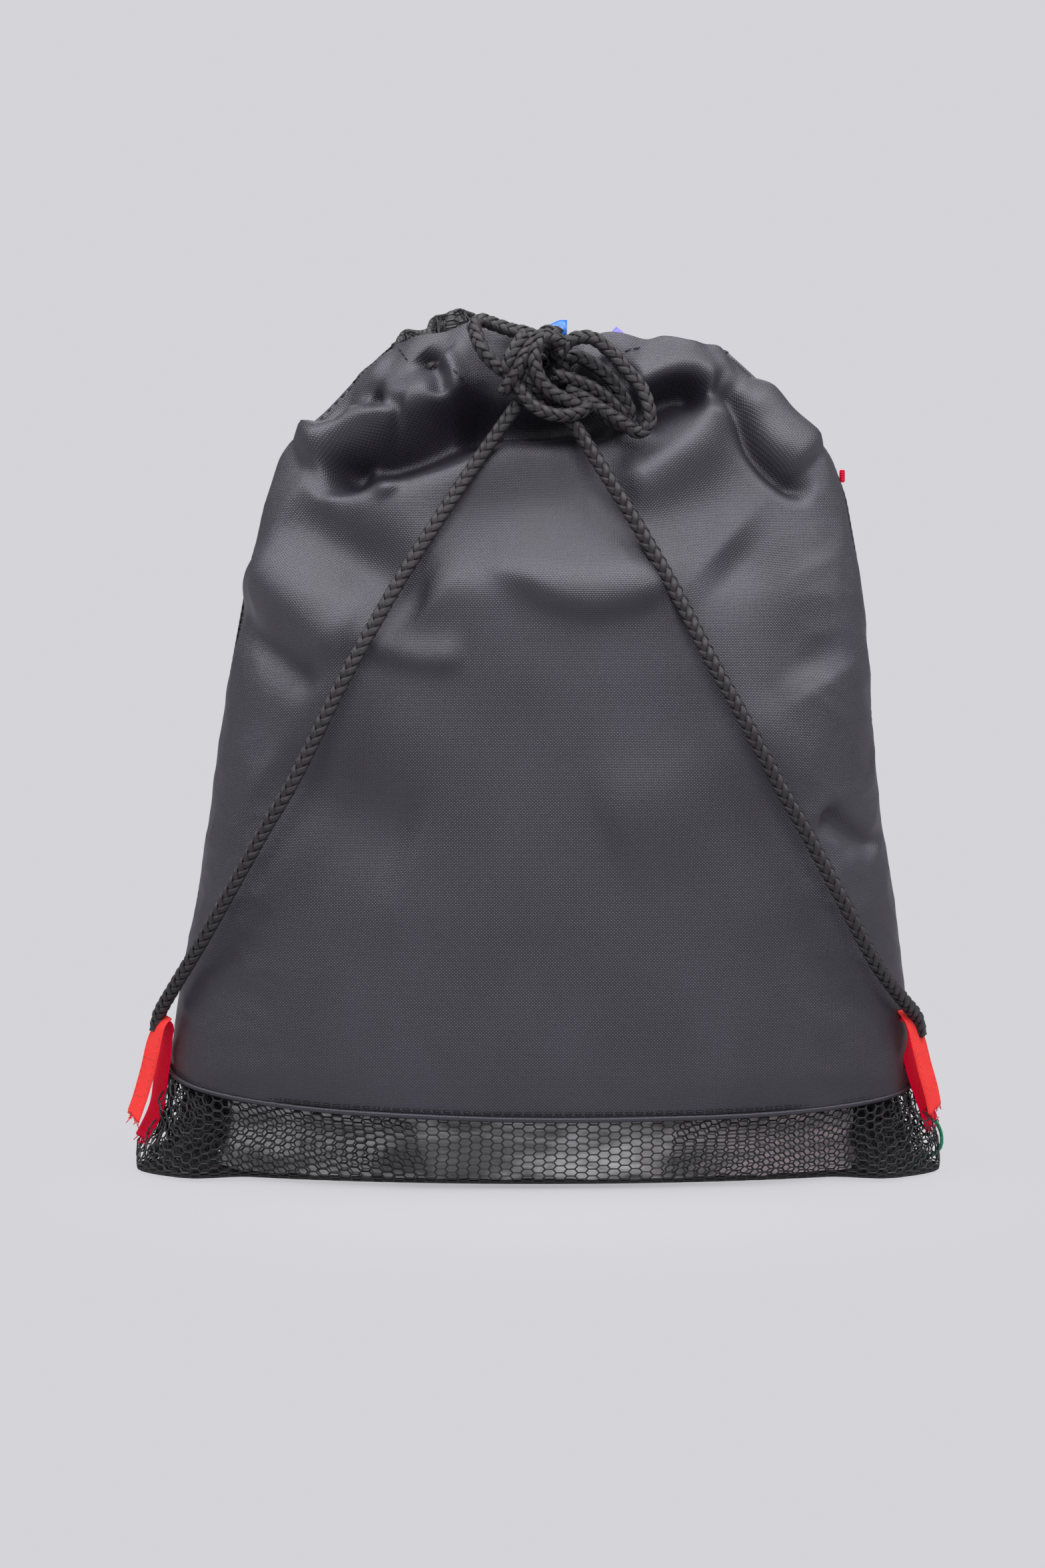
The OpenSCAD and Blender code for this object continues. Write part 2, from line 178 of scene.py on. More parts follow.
# Ends of the sacks that stand up into the mouth: half-width and the points that they follow
LOOSE_ENDS = {
    "blue": [(4.0, [(14, -11, 190), (12, -9, 233), (8, -6, 282), (4, -4, 313), (4.5, -4, 326),
                    (7.5, -4, 331), (11, -4, 331.5)])],
    "purple": [(3.6, [(34, 9, 190), (33, 7, 233), (32, 4, 282), (31, 3, 316), (31, 2, 327),
                      (33, 2, 330.5)]),
               (4.0, [(4, 9, 190), (3, 5, 243), (1, 1, 301), (0, -1, 321), (1.5, -2, 327.5)])],
}


def catmull(points, steps):
    """Smooth curve through points, as an array with steps points to a span."""
    knots = np.array([points[0], *points, points[-1]], dtype=float)
    t = (np.arange(steps) / steps)[:, None]
    spans = []
    for a, b, c, d in zip(knots, knots[1:], knots[2:], knots[3:]):
        spans.append(0.5 * (2 * b + (c - a) * t + (2 * a - 5 * b + 4 * c - d) * t ** 2
                            + (3 * b - a - 3 * c + d) * t ** 3))
    return np.vstack([*spans, knots[-1:]])


def distances(path):
    """Distance along a path at each of its points."""
    steps = np.linalg.norm(np.diff(path, axis=0), axis=1)
    return np.concatenate([[0], np.cumsum(steps)])


def respaced(path, count):
    """The same path with a number of points at one spacing, and the distance along at each."""
    along = distances(path)
    marks = np.linspace(0, along[-1], count)
    return np.stack([np.interp(marks, along, path[:, i]) for i in range(3)], axis=1), marks


def evenly(path, spacing):
    """The same path with points at about one spacing."""
    count = max(2, round(distances(path)[-1] / spacing) + 1)
    return respaced(path, count)[0]


def unit(vectors):
    return vectors / np.linalg.norm(vectors, axis=-1, keepdims=True)


def smooth_table(rows, reach=6):
    """A table of (place, value) rows as two arrays with its corners rounded off."""
    places, values = np.array(rows, dtype=float).T
    fine = np.arange(places[0] - 10, places[-1] + 11)
    kernel = np.hanning(2 * reach + 3)[1:-1]
    padded = np.pad(np.interp(fine, places, values), reach, mode="edge")
    return fine, np.convolve(padded, kernel / kernel.sum(), mode="valid")


LEFT_CURVE = smooth_table(LEFT_HALF)
RIGHT_CURVE = smooth_table(RIGHT_HALF)
DEPTH_CURVE = smooth_table(DEPTH_HALF, 8)
SQUARE_CURVE = smooth_table(SQUARENESS)
SEAM_CURVE = smooth_table(MESH_SEAM, 10)
HEM_CURVE = smooth_table(HEM, 3)


def seam_height(turn):
    return np.interp(turn, *SEAM_CURVE)


def hem_height(turn):
    return np.interp(turn, *HEM_CURVE)


def skin(turn, z, proud=0.0):
    """Points on the bag at turns in degrees and heights in millimetres."""
    c = np.cos(np.radians(turn))
    s = np.sin(np.radians(turn))
    wide = np.where(c > 0, np.interp(z, *LEFT_CURVE), np.interp(z, *RIGHT_CURVE))
    power = 2 / np.interp(z, *SQUARE_CURVE)
    x = -np.sign(c) * (wide + proud) * np.abs(c) ** power
    y = -np.sign(s) * (np.interp(z, *DEPTH_CURVE) + proud) * np.abs(s) ** power
    return np.stack([x, y, z + 0 * x], axis=-1)


def round_rows(start, end, low, high, shares, columns, proud=0.0):
    """Rows of points round the bag, evenly spaced along each row, and their distance along it."""
    share = np.linspace(0, 1, 1601)
    turns = start + (end - start) * (share - np.sin(4 * np.pi * share) / (4 * np.pi))
    rows = []
    along_rows = []
    for share in shares:
        z = low(turns) + (high(turns) - low(turns)) * share
        row, along = respaced(skin(turns, z, proud), columns + 1)
        rows.append(row)
        along_rows.append(along - along[-1] / 2)
    return np.array(rows), np.array(along_rows)


def grid_normals(grid):
    """Outward unit vectors of a grid of points, rows upwards and columns to the right."""
    across = np.gradient(grid, axis=1)
    up = np.gradient(grid, axis=0)
    normal = np.cross(across, up)
    return normal / np.maximum(np.linalg.norm(normal, axis=-1, keepdims=True), 1e-9)


def grid_size(grid):
    """Width and height of a grid of points along its surface: the medians of rows and columns."""
    across = np.linalg.norm(np.diff(grid, axis=1), axis=-1).sum(axis=1)
    upward = np.linalg.norm(np.diff(grid, axis=0), axis=-1).sum(axis=0)
    return float(np.median(across)), float(np.median(upward))


def step_up(value, start, end):
    """Smooth step from 0 at start to 1 at end."""
    t = np.clip((value - start) / (end - start), 0, 1)
    return t * t * (3 - 2 * t)


def inner_share(columns):
    """1 over most of a row, falling to 0 at both of its ends."""
    return 1 - step_up(np.abs(np.linspace(-1, 1, columns + 1)), 0.9, 1)[None, :]


def fold_height(x, z, height, above, below, points):
    """Height of one fold over a front view of the cloth, as a soft ridge along a line."""
    line = catmull(points, 6)
    nearest = np.full(x.shape, 1e9)
    side = np.zeros(x.shape)
    place = np.zeros(x.shape)
    count = len(line) - 1
    for i in range(count):
        ax, az = line[i]
        dx, dz = line[i + 1] - line[i]
        t = np.clip(((x - ax) * dx + (z - az) * dz) / (dx * dx + dz * dz), 0, 1)
        away = np.hypot(x - ax - t * dx, z - az - t * dz)
        closer = away < nearest
        nearest = np.where(closer, away, nearest)
        side = np.where(closer, dx * (z - az) - dz * (x - ax), side)
        place = np.where(closer, (i + t) / count, place)
    reach = np.where(side > 0, above, below)
    ends = step_up(place, 0, 0.22) * (1 - step_up(place, 0.78, 1))
    return height * np.exp(-(nearest / reach) ** 2) * ends


def ripples(x, y, z, size, seed):
    """Soft unevenness about 1 high, made of crossing waves, the same on every run."""
    pick = np.random.default_rng(seed)
    total = 0 * x
    for _ in range(7):
        direction = pick.normal(size=3)
        direction /= np.linalg.norm(direction)
        phase = pick.uniform(0, 2 * np.pi)
        wave = pick.uniform(0.7, 1.6) * 2 * np.pi / size
        place = direction[0] * x + direction[1] * y + direction[2] * z
        total = total + np.sin(wave * place + phase)
    return total / 2.6


def creases(x, y, z, size, seed):
    """Sharp-edged unevenness from 0 to about 1, like crumpled film."""
    a = np.abs(ripples(x, y, z, size, seed))
    b = np.abs(ripples(x, y, z, size * 0.45, seed + 1))
    return 1 - np.clip(a, 0, 1) * 0.7 - np.clip(b, 0, 1) * 0.3


def add_piece(name, points, faces, finish, uv=None, smooth=True):
    """New object in metres from points in millimetres, with its place in its mesh."""
    mesh = bpy.data.meshes.new(name)
    mesh.from_pydata((np.asarray(points) * MM).tolist(), [], faces)
    if uv is not None:
        layer = mesh.uv_layers.new(name="UVMap")
        corners = np.empty(len(mesh.loops), dtype=np.int32)
        mesh.loops.foreach_get("vertex_index", corners)
        layer.data.foreach_set("uv", np.asarray(uv)[corners].astype(np.float32).ravel())
    mesh.materials.append(finish)
    mesh.polygons.foreach_set("use_smooth", [smooth] * len(mesh.polygons))
    piece = bpy.data.objects.new(name, mesh)
    bpy.context.scene.collection.objects.link(piece)
    return piece


def grid_faces(rows, columns, closed=False, start=0):
    """Quads of a grid of points, rows upwards and columns to the right, facing the viewer."""
    faces = []
    wide = columns if closed else columns + 1
    for i in range(rows):
        for j in range(columns):
            a = start + i * wide + j
            b = start + i * wide + (j + 1) % wide
            faces.append((a, b, b + wide, a + wide))
    return faces


def select(*pieces):
    """Select some objects and no others, the first of them active."""
    bpy.ops.object.select_all(action="DESELECT")
    for piece in pieces:
        piece.select_set(True)
    bpy.context.view_layer.objects.active = pieces[0]


def outward(piece):
    """Turn every face of a closed piece outwards."""
    select(piece)
    bpy.ops.object.mode_set(mode="EDIT")
    bpy.ops.mesh.select_all(action="SELECT")
    bpy.ops.mesh.normals_make_consistent(inside=False)
    bpy.ops.object.mode_set(mode="OBJECT")
    piece.select_set(False)


def apply_modifier(piece, kind, **settings):
    """Add one modifier to a piece and apply it."""
    select(piece)
    modifier = piece.modifiers.new(kind.title(), kind)
    for name, value in settings.items():
        setattr(modifier, name, value)
    bpy.ops.object.modifier_apply(modifier=modifier.name)
    piece.select_set(False)


def joined(pieces, name):
    """Several objects as one."""
    select(*pieces)
    bpy.ops.object.join()
    whole = bpy.context.view_layer.objects.active
    whole.name = name
    whole.select_set(False)
    return whole


def install(piece, body, slot, *nodes):
    """Tie a piece to its body and hide the frame's nodes that it stands for. The slot is not used.
    """
    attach(piece, body)
    if nodes:
        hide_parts(*nodes)


class Socket:
    """One value in a material, on which Python arithmetic adds Math nodes."""

    def __init__(self, finish, socket):
        self.finish = finish
        self.socket = socket

    def __add__(self, other):
        return self.finish.math("ADD", self, other)

    __radd__ = __add__

    def __mul__(self, other):
        return self.finish.math("MULTIPLY", self, other)

    __rmul__ = __mul__

    def __sub__(self, other):
        return self.finish.math("SUBTRACT", self, other)

    def __rsub__(self, other):
        return self.finish.math("SUBTRACT", other, self)

    def __truediv__(self, other):
        return self.finish.math("DIVIDE", self, other)

    def __mod__(self, other):
        return self.finish.math("FLOORED_MODULO", self, other)


class Finish:
    """A material of one Principled shader, built node by node."""

    def __init__(self, name, **constants):
        self.material = bpy.data.materials.new(name)
        self.material.use_nodes = True
        self.tree = self.material.node_tree
        self.tree.nodes.clear()
        self.shader = self.node("ShaderNodeBsdfPrincipled")
        self.output = self.node("ShaderNodeOutputMaterial")
        self.tree.links.new(self.shader.outputs[0], self.output.inputs["Surface"])
        for socket, value in constants.items():
            self.set(socket.replace("_", " "), value)

    def node(self, kind, settings=None, values=None):
        """Add a node: its settings first, then the values or links of its sockets."""
        node = self.tree.nodes.new(kind)
        for name, value in (settings or {}).items():
            setattr(node, name, value)
        for name, value in (values or {}).items():
            self.feed(node.inputs[name], value)
        return node

    def feed(self, target, value):
        if isinstance(value, Socket):
            self.tree.links.new(value.socket, target)
        else:
            target.default_value = value

    def out(self, node, name=0):
        return Socket(self, node.outputs[name])

    def set(self, socket, value):
        """Give one of the shader's own sockets a value or a link."""
        if not isinstance(value, (Socket, float, int, str, bool)) and len(value) == 3:
            value = (*value, 1.0)
        self.feed(self.shader.inputs[socket], value)

    def math(self, operation, *values):
        node = self.node("ShaderNodeMath", {"operation": operation}, dict(enumerate(values)))
        return self.out(node)

    def coords(self, name="Object"):
        return self.out(self.node("ShaderNodeTexCoord"), name)

    def axes(self, vector):
        """The three parts of a vector."""
        node = self.node("ShaderNodeSeparateXYZ", values={0: vector})
        return [self.out(node, i) for i in range(3)]

    def arches(self, value, pitch):
        """A row of round arches from 0 to 1, one to each pitch."""
        return self.math("ABSOLUTE", self.math("SINE", value * (math.pi / pitch)))

    def noise(self, scale, detail=2.0, vector=None, roughness=0.5):
        values = {"Scale": scale, "Detail": detail, "Roughness": roughness,
                  "Vector": vector or self.coords()}
        return self.out(self.node("ShaderNodeTexNoise", values=values), "Fac")

    def ramp(self, value, low, high):
        """Smooth 0 to 1 as value goes from low to high."""
        values = {"Value": value, "From Min": low, "From Max": high}
        settings = {"interpolation_type": "SMOOTHSTEP"}
        return self.out(self.node("ShaderNodeMapRange", settings, values), "Result")

    def blend(self, share, first, second):
        """Mix two colours."""
        node = self.node("ShaderNodeMix", {"data_type": "RGBA"})
        self.feed(node.inputs["Factor"], share)
        for target, colour in ((node.inputs[6], first), (node.inputs[7], second)):
            self.feed(target, colour if isinstance(colour, Socket) else (*colour, 1.0))
        return Socket(self, node.outputs[2])

    def bump(self, height, distance, strength=1.0):
        values = {"Height": height, "Distance": distance, "Strength": strength}
        self.set("Normal", self.out(self.node("ShaderNodeBump", values=values), "Normal"))


def shade(colour, factor):
    return tuple(part * factor for part in colour)


def woven_height(finish, u, v, pitch):
    """Height of a plain weave over u and v, in the unit of its pitch, from 0 to 1."""
    warp = finish.arches(u, pitch)
    weft = finish.arches(v, pitch)
    over = (finish.math("FLOOR", u / pitch) + finish.math("FLOOR", v / pitch)) % 2
    return warp * weft * (over * 0.75 + 0.25)


def cloth_finish(colours, sizes):
    """Black oxford cloth with a satin face."""
    finish = Finish("oxford cloth", Specular_IOR_Level=0.95, Specular_Tint=(0.93, 0.91, 1.0, 1.0))
    u, v, _ = finish.axes(finish.coords("UV"))
    weave = woven_height(finish, u, v, sizes.weave_pitch * 1000)
    patches = finish.noise(26, 3)
    streaks = finish.noise(9, 2)
    # The weave's crowns are painted lighter and the gaps between its yarns darker: painted
    # highlight and painted shade of the weave.
    tone = finish.blend(weave, shade(colours.cloth, 0.25), shade(colours.cloth, 2.2))
    # Lighter in random patches.
    patchy_tone = finish.blend(finish.ramp(patches, 0.35, 0.75) * 0.35, tone, shade(colours.cloth, 2.0))
    finish.set("Base Color", patchy_tone)
    finish.set("Roughness", 0.47 + streaks * 0.10 - weave * 0.18)
    fine = finish.noise(180, 2)
    finish.bump(weave * 0.24 + patches * 0.5 + fine * 0.06, 0.0012, 0.6)
    return finish.material


def mesh_finish(colours):
    """Black knitted mesh yarn."""
    finish = Finish("mesh yarn", Roughness=0.6, Specular_IOR_Level=0.4)
    yarn = finish.noise(1500, 2)
    wide = finish.noise(60, 2)
    tone = finish.blend(yarn, shade(colours.mesh, 0.6), shade(colours.mesh, 1.9))
    finish.set("Base Color", finish.blend(wide * 0.4, tone, shade(colours.mesh, 2.2)))
    finish.bump(yarn, 0.0002, 0.6)
    return finish.material


def gathered_mesh_finish(colours):
    """Mesh drawn together until its holes are slits between soft ribs."""
    finish = Finish("gathered mesh", Roughness=0.55, Specular_IOR_Level=0.5)
    u, v, _ = finish.axes(finish.coords("UV"))
    shift = finish.math("FLOOR", u / 1.5) % 2
    ribs = finish.arches(u, 1.5)
    knots = finish.arches(v + shift * 1.5, 3.0)
    height = ribs * (0.35 + knots * 0.65)
    # Rib crowns are painted lighter and the slits between them darker: painted highlight and
    # painted shade.
    finish.set("Base Color", finish.blend(height, shade(colours.mesh, 0.4),
                                          shade(colours.mesh, 3.0)))
    finish.bump(height, 0.0009, 0.8)
    return finish.material


def braid_finish(colours):
    """Glossy filaments that run along each strand of the braid."""
    finish = Finish("braided cord", Specular_IOR_Level=0.55)
    u, v, _ = finish.axes(finish.coords("UV"))
    strand = finish.node("ShaderNodeCombineXYZ", values={0: u * 0.06, 1: v * 9.0})
    filament = finish.noise(2.2, 3, finish.out(strand))
    wide = finish.noise(130, 2)
    tone = finish.blend(finish.ramp(filament, 0.3, 0.75), shade(colours.cord, 0.5),
                        shade(colours.cord, 2.1))
    finish.set("Base Color", tone)
    finish.set("Roughness", 0.30 + wide * 0.20)
    finish.bump(filament, 0.00035, 0.8)
    return finish.material


def webbing_finish(name, colour, deep):
    """Ribbed fluorescent webbing, with painted shade between its ribs and a faint painted glow."""
    # Emission_Strength gives the webbing a painted glow.
    finish = Finish(name, Roughness=0.7, Specular_IOR_Level=0.12, Emission_Strength=0.2)
    u, v, _ = finish.axes(finish.coords("UV"))
    ribs = finish.arches(u, 0.9)
    picks = finish.math("ABSOLUTE", finish.math("SINE", v * (math.pi / 1.3) + ribs))
    wear = finish.noise(220, 3)
    height = ribs * 0.6 + picks * 0.4
    # Darker between the ribs, where the deep colour is painted shade; the wear noise adds random
    # tone.
    tone = finish.blend(height * 0.7 + wear * 0.3, deep, colour)
    finish.set("Base Color", tone)
    # The Emission Color repeats the base colour: a painted glow.
    finish.set("Emission Color", tone)
    finish.bump(height + wear * 0.5, 0.0004, 0.8)
    return finish.material


def thread_finish(name, colour):
    """Twisted sewing thread."""
    finish = Finish(name, Roughness=0.5)
    twist = finish.noise(2200, 1)
    finish.set("Base Color", finish.blend(twist, shade(colour, 0.55), shade(colour, 1.3)))
    finish.bump(twist, 0.0001, 0.7)
    return finish.material


def film_finish(colours):
    """Crumpled clear film that looks silver: painted highlights and painted shade follow its
    crumples.
    """
    finish = Finish("clear film", Specular_IOR_Level=0.9, IOR=1.5)
    x, y, z = finish.axes(finish.coords())
    long = finish.out(finish.node("ShaderNodeCombineXYZ", values={0: x * 0.42, 1: y, 2: z * 1.3}))
    crumple = finish.noise(34, 5, long, 0.6)
    fine = finish.noise(120, 4, long, 0.6)
    haze_and_shade = finish.ramp(crumple, 0.38, 0.60)
    warm = finish.ramp(x, 0.03, 0.10)
    tone = finish.blend(warm * 0.6, colours.film, (0.78, 0.50, 0.52))
    # Darker in patches of the finer noise: painted shade of small crumples.
    tone = finish.blend(finish.ramp(fine, 0.35, 0.62), shade(colours.film, 0.42), tone)
    # Dark where the crumple pattern is low and silver where it is high: painted shade and painted
    # highlights. The same mask sets the film's haze in its alpha.
    finish.set("Base Color", finish.blend(haze_and_shade, shade(colours.film, 0.16), tone))
    finish.set("Roughness", 0.18 + fine * 0.22)
    near = finish.ramp(y, 0.02, -0.01)
    finish.set("Alpha", 0.97 * near + (haze_and_shade * 0.14 + fine * 0.3 + 0.12) * (1 - near))
    finish.bump(crumple + fine * 0.35, 0.005, 0.8)
    return finish.material


def nylon_finish(name, colour):
    """Glossy coloured nylon with creases pressed into it."""
    finish = Finish(name, Specular_IOR_Level=0.6, Coat_Weight=0.25, Coat_Roughness=0.2)
    crease = finish.noise(42, 4)
    weave = finish.noise(900, 2)
    # Darker where the crease noise is low and the bump sinks: painted shade in the creases.
    finish.set("Base Color", finish.blend(finish.ramp(crease, 0.3, 0.7), shade(colour, 0.55),
                                          colour))
    finish.set("Roughness", 0.30 + crease * 0.15)
    finish.bump(crease + weave * 0.05, 0.003, 0.6)
    return finish.material


def transported_frames(path):
    """Unit vectors along, across and up at each point of a path, without twist."""
    ahead = unit(np.gradient(path, axis=0))
    sides = [unit(np.cross(ahead[0], (0.3, 0.9, 0.3)))]
    for direction in ahead[1:]:
        sides.append(unit(sides[-1] - direction * np.dot(sides[-1], direction)))
    sides = np.array(sides)
    return ahead, sides, np.cross(ahead, sides)


def braid(name, route, finish, sizes, crowd=0.0):
    """Eight strands plaited round a route in millimetres, as one object, and their path."""
    pitch = sizes.braid_pitch * 1000
    outer = sizes.cord_diameter * 500
    steps_per_pitch = 18
    strand_sides = 6
    half_wide, half_thick, sway = outer * 0.47, outer * 0.15, outer * 0.165
    middle = outer - half_thick - sway
    path = evenly(catmull(route, 10), pitch / steps_per_pitch)
    ahead, across, up = transported_frames(path)
    along = np.arange(len(path)) * pitch / steps_per_pitch
    wave = 4 * np.pi * along / pitch + crowd
    lean = math.atan(2 * math.pi * middle / pitch)
    points, faces, uv = [], [], []
    for k in range(8):
        hand = 1 if k < 4 else -1
        number = k % 4
        angle = hand * (2 * np.pi * along / pitch + crowd / 2) + number * np.pi / 2
        lift = np.sin(wave + number * np.pi)
        if hand < 0:
            angle = angle + np.pi / 4
            lift = -np.cos(wave - number * np.pi)
        radial = np.cos(angle)[:, None] * across + np.sin(angle)[:, None] * up
        around = -np.sin(angle)[:, None] * across + np.cos(angle)[:, None] * up
        flat = around * math.cos(lean) - hand * ahead * math.sin(lean)
        centre = path + radial * (middle + sway * lift)[:, None]
        ends = np.clip(np.minimum(along, along[-1] - along) / 1.2, 0.3, 1)[:, None]
        for side in range(strand_sides):
            turn = 2 * math.pi * side / strand_sides
            ring = (centre + flat * half_wide * math.cos(turn) * ends
                    + radial * (half_thick * math.sin(turn) - 0.12 * math.cos(turn) ** 2))
            points.append(ring)
            uv.append(np.stack([along, np.full(len(path), side / strand_sides * 3.0)], axis=1))
        size = len(path)
        for side in range(strand_sides):
            a = (k * strand_sides + side) * size
            b = (k * strand_sides + (side + 1) % strand_sides) * size
            for i in range(size - 1):
                faces.append((a + i, b + i, b + i + 1, a + i + 1))
        base = k * strand_sides * size
        faces.append([base + side * size for side in reversed(range(strand_sides))])
        faces.append([base + side * size + size - 1 for side in range(strand_sides)])
    piece = add_piece(name, np.concatenate(points), faces, finish, np.concatenate(uv))
    outward(piece)
    return piece, path


def tube(name, route, radius, finish, sides=8, spacing=1.5, flat=1.0):
    """A plain round tube along a route in millimetres."""
    path = evenly(catmull(route, 6), spacing)
    _, across, up = transported_frames(path)
    rings = []
    for side in range(sides):
        turn = 2 * math.pi * side / sides
        rings.append(path + across * radius * math.cos(turn) + up * radius * flat * math.sin(turn))
    points = np.stack(rings, axis=1).reshape(-1, 3)
    uv = np.stack([np.repeat(np.arange(len(path)) * spacing, sides),
                   np.tile(np.arange(sides) / sides * 4, len(path))], axis=1)
    faces = grid_faces(len(path) - 1, sides, closed=True)
    faces.append(list(reversed(range(sides))))
    last = (len(path) - 1) * sides
    faces.append([last + side for side in range(sides)])
    return add_piece(name, points, faces, finish, uv)


def strap_side_grid():
    """The strap side's cloth from the mesh seam up to the hem, folds and all, and its UVs."""
    columns, rows = 216, 186
    shares = np.linspace(0, 1, rows + 1) ** 0.94
    grid, along = round_rows(0, 180, seam_height, hem_height, shares, columns)
    normal = grid_normals(grid)
    x, y, z = grid[..., 0], grid[..., 1], grid[..., 2]
    front = step_up(normal[..., 1], 0.12, -0.35)
    lift = 0 * x
    for _, height, above, below, points in FOLDS:
        lift += fold_height(x, z, height, above, below, points)
    lift *= front
    upper = step_up(z, 248, 312)
    lift += upper * ripples(x, y, z, 22, 4) * 0.35
    lift += step_up(z, 60, 120) * ripples(x, y, z, 70, 8) * 0.6
    edges = inner_share(columns)
    flank = step_up(np.abs(x), 92, 112) * (1 - upper)
    lift += flank * creases(x, y, z, 50, 21) * edges
    hem_gather = step_up(z, 300, 330)
    lift += hem_gather * np.sin(along * 0.30 + ripples(x, y, z, 34, 2) * 1.5) * 0.7 * edges
    grid = grid + normal * lift[..., None]
    uv = np.stack([along, z], axis=-1)
    return grid, uv


def turned_in(grid, uv, depth, room):
    """Rows that carry a hem over its top and down inside, leaving room for the cord."""
    top = grid[-1]
    run = np.gradient(top, axis=0)
    out = np.stack([run[:, 1], -run[:, 0], 0 * run[:, 0]], axis=1)
    out /= np.maximum(np.linalg.norm(out, axis=1, keepdims=True), 1e-6)
    rise = np.array([0, 0, 1.0])
    radius = 1.3
    rows, marks = [grid], [uv]
    distance = 0
    for i in range(1, 5):
        turn = math.pi * i / 4
        rows.append([top - out * radius * (1 - math.cos(turn)) + rise * radius * math.sin(turn)])
        distance += radius * math.pi / 4
        marks.append([uv[-1] + [0, distance]])
    steps = 8
    for i in range(1, steps + 1):
        down = depth * i / steps
        inward = 2 * radius + room * math.sin(math.pi / 2 * min(1, 1.6 * i / steps))
        rows.append([top - out * inward - rise * down])
        marks.append([uv[-1] + [0, distance + down]])
    return np.concatenate(rows), np.concatenate(marks)


def cloth_surface(name, grid, uv, finish, thickness):
    """A sheet of cloth from a grid of points, with its thickness on the inside."""
    rows, columns = grid.shape[0] - 1, grid.shape[1] - 1
    piece = add_piece(name, grid.reshape(-1, 3), grid_faces(rows, columns), finish,
                      uv.reshape(-1, 2))
    apply_modifier(piece, "SOLIDIFY", thickness=thickness, offset=-1, use_even_offset=False)
    return piece


def between(grid, u, v):
    """Points of a grid at shares u across and v up, from 0 to 1."""
    rows, columns = grid.shape[0] - 1, grid.shape[1] - 1
    i = np.clip(v, 0, 1) * rows
    j = np.clip(u, 0, 1) * columns
    i0 = np.minimum(i.astype(int), rows - 1)
    j0 = np.minimum(j.astype(int), columns - 1)
    fi, fj = (i - i0)[:, None], (j - j0)[:, None]
    low = grid[i0, j0] * (1 - fj) + grid[i0, j0 + 1] * fj
    high = grid[i0 + 1, j0] * (1 - fj) + grid[i0 + 1, j0 + 1] * fj
    return low * (1 - fi) + high * fi


def hex_cloth(name, grid, finish, sizes):
    """Knitted mesh with six-sided holes, laid over a grid of points, as real yarn."""
    wide, high = grid_size(grid)
    column_pitch = sizes.mesh_cell_width * 1000
    row_pitch = sizes.mesh_cell_height * 1000
    tip, flat, half = column_pitch * 0.64, column_pitch * 0.36, row_pitch / 2
    corners = [(tip, 0), (flat, half), (-flat, half), (-tip, 0), (-flat, -half), (flat, -half)]
    columns = max(2, round((wide - 2 * tip) / column_pitch))
    rows = max(2, round(high / row_pitch))
    index, places, faces = {}, [], []
    for i in range(columns + 1):
        for j in range(rows):
            u = tip + (wide - 2 * tip) * i / columns
            v = high * (j + 0.5) / rows + half * (i % 2)
            face = []
            for du, dv in corners:
                key = (round((u + du) * 10), round((v + dv) * 10))
                if key not in index:
                    index[key] = len(places)
                    places.append((u + du, v + dv))
                face.append(index[key])
            if len(set(face)) == 6 and v < high:
                faces.append(face)
    places = np.array(places)
    points = between(grid, places[:, 0] / wide, places[:, 1] / high)
    piece = add_piece(name, points, faces, finish, smooth=False)
    apply_modifier(piece, "WIREFRAME", thickness=sizes.yarn_diameter, use_even_offset=False,
                   use_relative_offset=False, use_boundary=True)
    return piece


def ear_share(x):
    """1 in the lower corners of the mesh, 0 between them."""
    return step_up(np.abs(x), 112, 140)


def slump(grid, ears, rising):
    """Let the lower corners lean forward, most at their foot."""
    grid[..., 1] -= EAR_FORWARD * ears * (1 - rising) ** 0.6


def mesh_strip_grid(start, seed):
    """A mesh strip from the bottom seam outwards and up to the cloth."""
    columns = 150
    foot = 4.0
    wall, _ = round_rows(start, start + 180, lambda turn: foot + 0 * turn, seam_height,
                         np.linspace(0, 1, 11), columns)
    normal = grid_normals(wall)
    x, y, z = wall[..., 0], wall[..., 1], wall[..., 2]
    rising = np.linspace(0, 1, 11)[:, None]
    loose = rising * (1 - rising) * 4
    ears = ear_share(x)
    bulge = 1.2 + 1.6 * ripples(x, y, z, 44, seed) + ears * 1.8 * ripples(x, y, z, 15, seed + 1)
    wall = wall + normal * (bulge * loose)[..., None]
    slump(wall, ears, rising)
    base = []
    for share in np.linspace(0.03, 0.97, 19):
        row = wall[0].copy()
        row[:, 1] *= share
        row[:, 2] = 0.5 + 3.0 * max(0.0, share - 0.78) ** 2 * 20
        base.append(row)
    return np.concatenate([base, wall])


def mesh_layer_grid(start, end, proud, size, rough, seed):
    """A loose layer of mesh between two turns, inside the strip that the eye meets first."""
    def low(turn):
        return 3.0 + 0 * turn

    def high(turn):
        return seam_height(turn % 360) - 1.5

    share = np.linspace(0, 1, 13)
    grid, _ = round_rows(start, end, low, high, share, 60, proud)
    x, y, z = grid[..., 0], grid[..., 1], grid[..., 2]
    ears = ear_share(x)
    lift = rough * ripples(x, y, z, size, seed)
    grid = grid + grid_normals(grid) * lift[..., None]
    slump(grid, ears, share[:, None])
    return grid


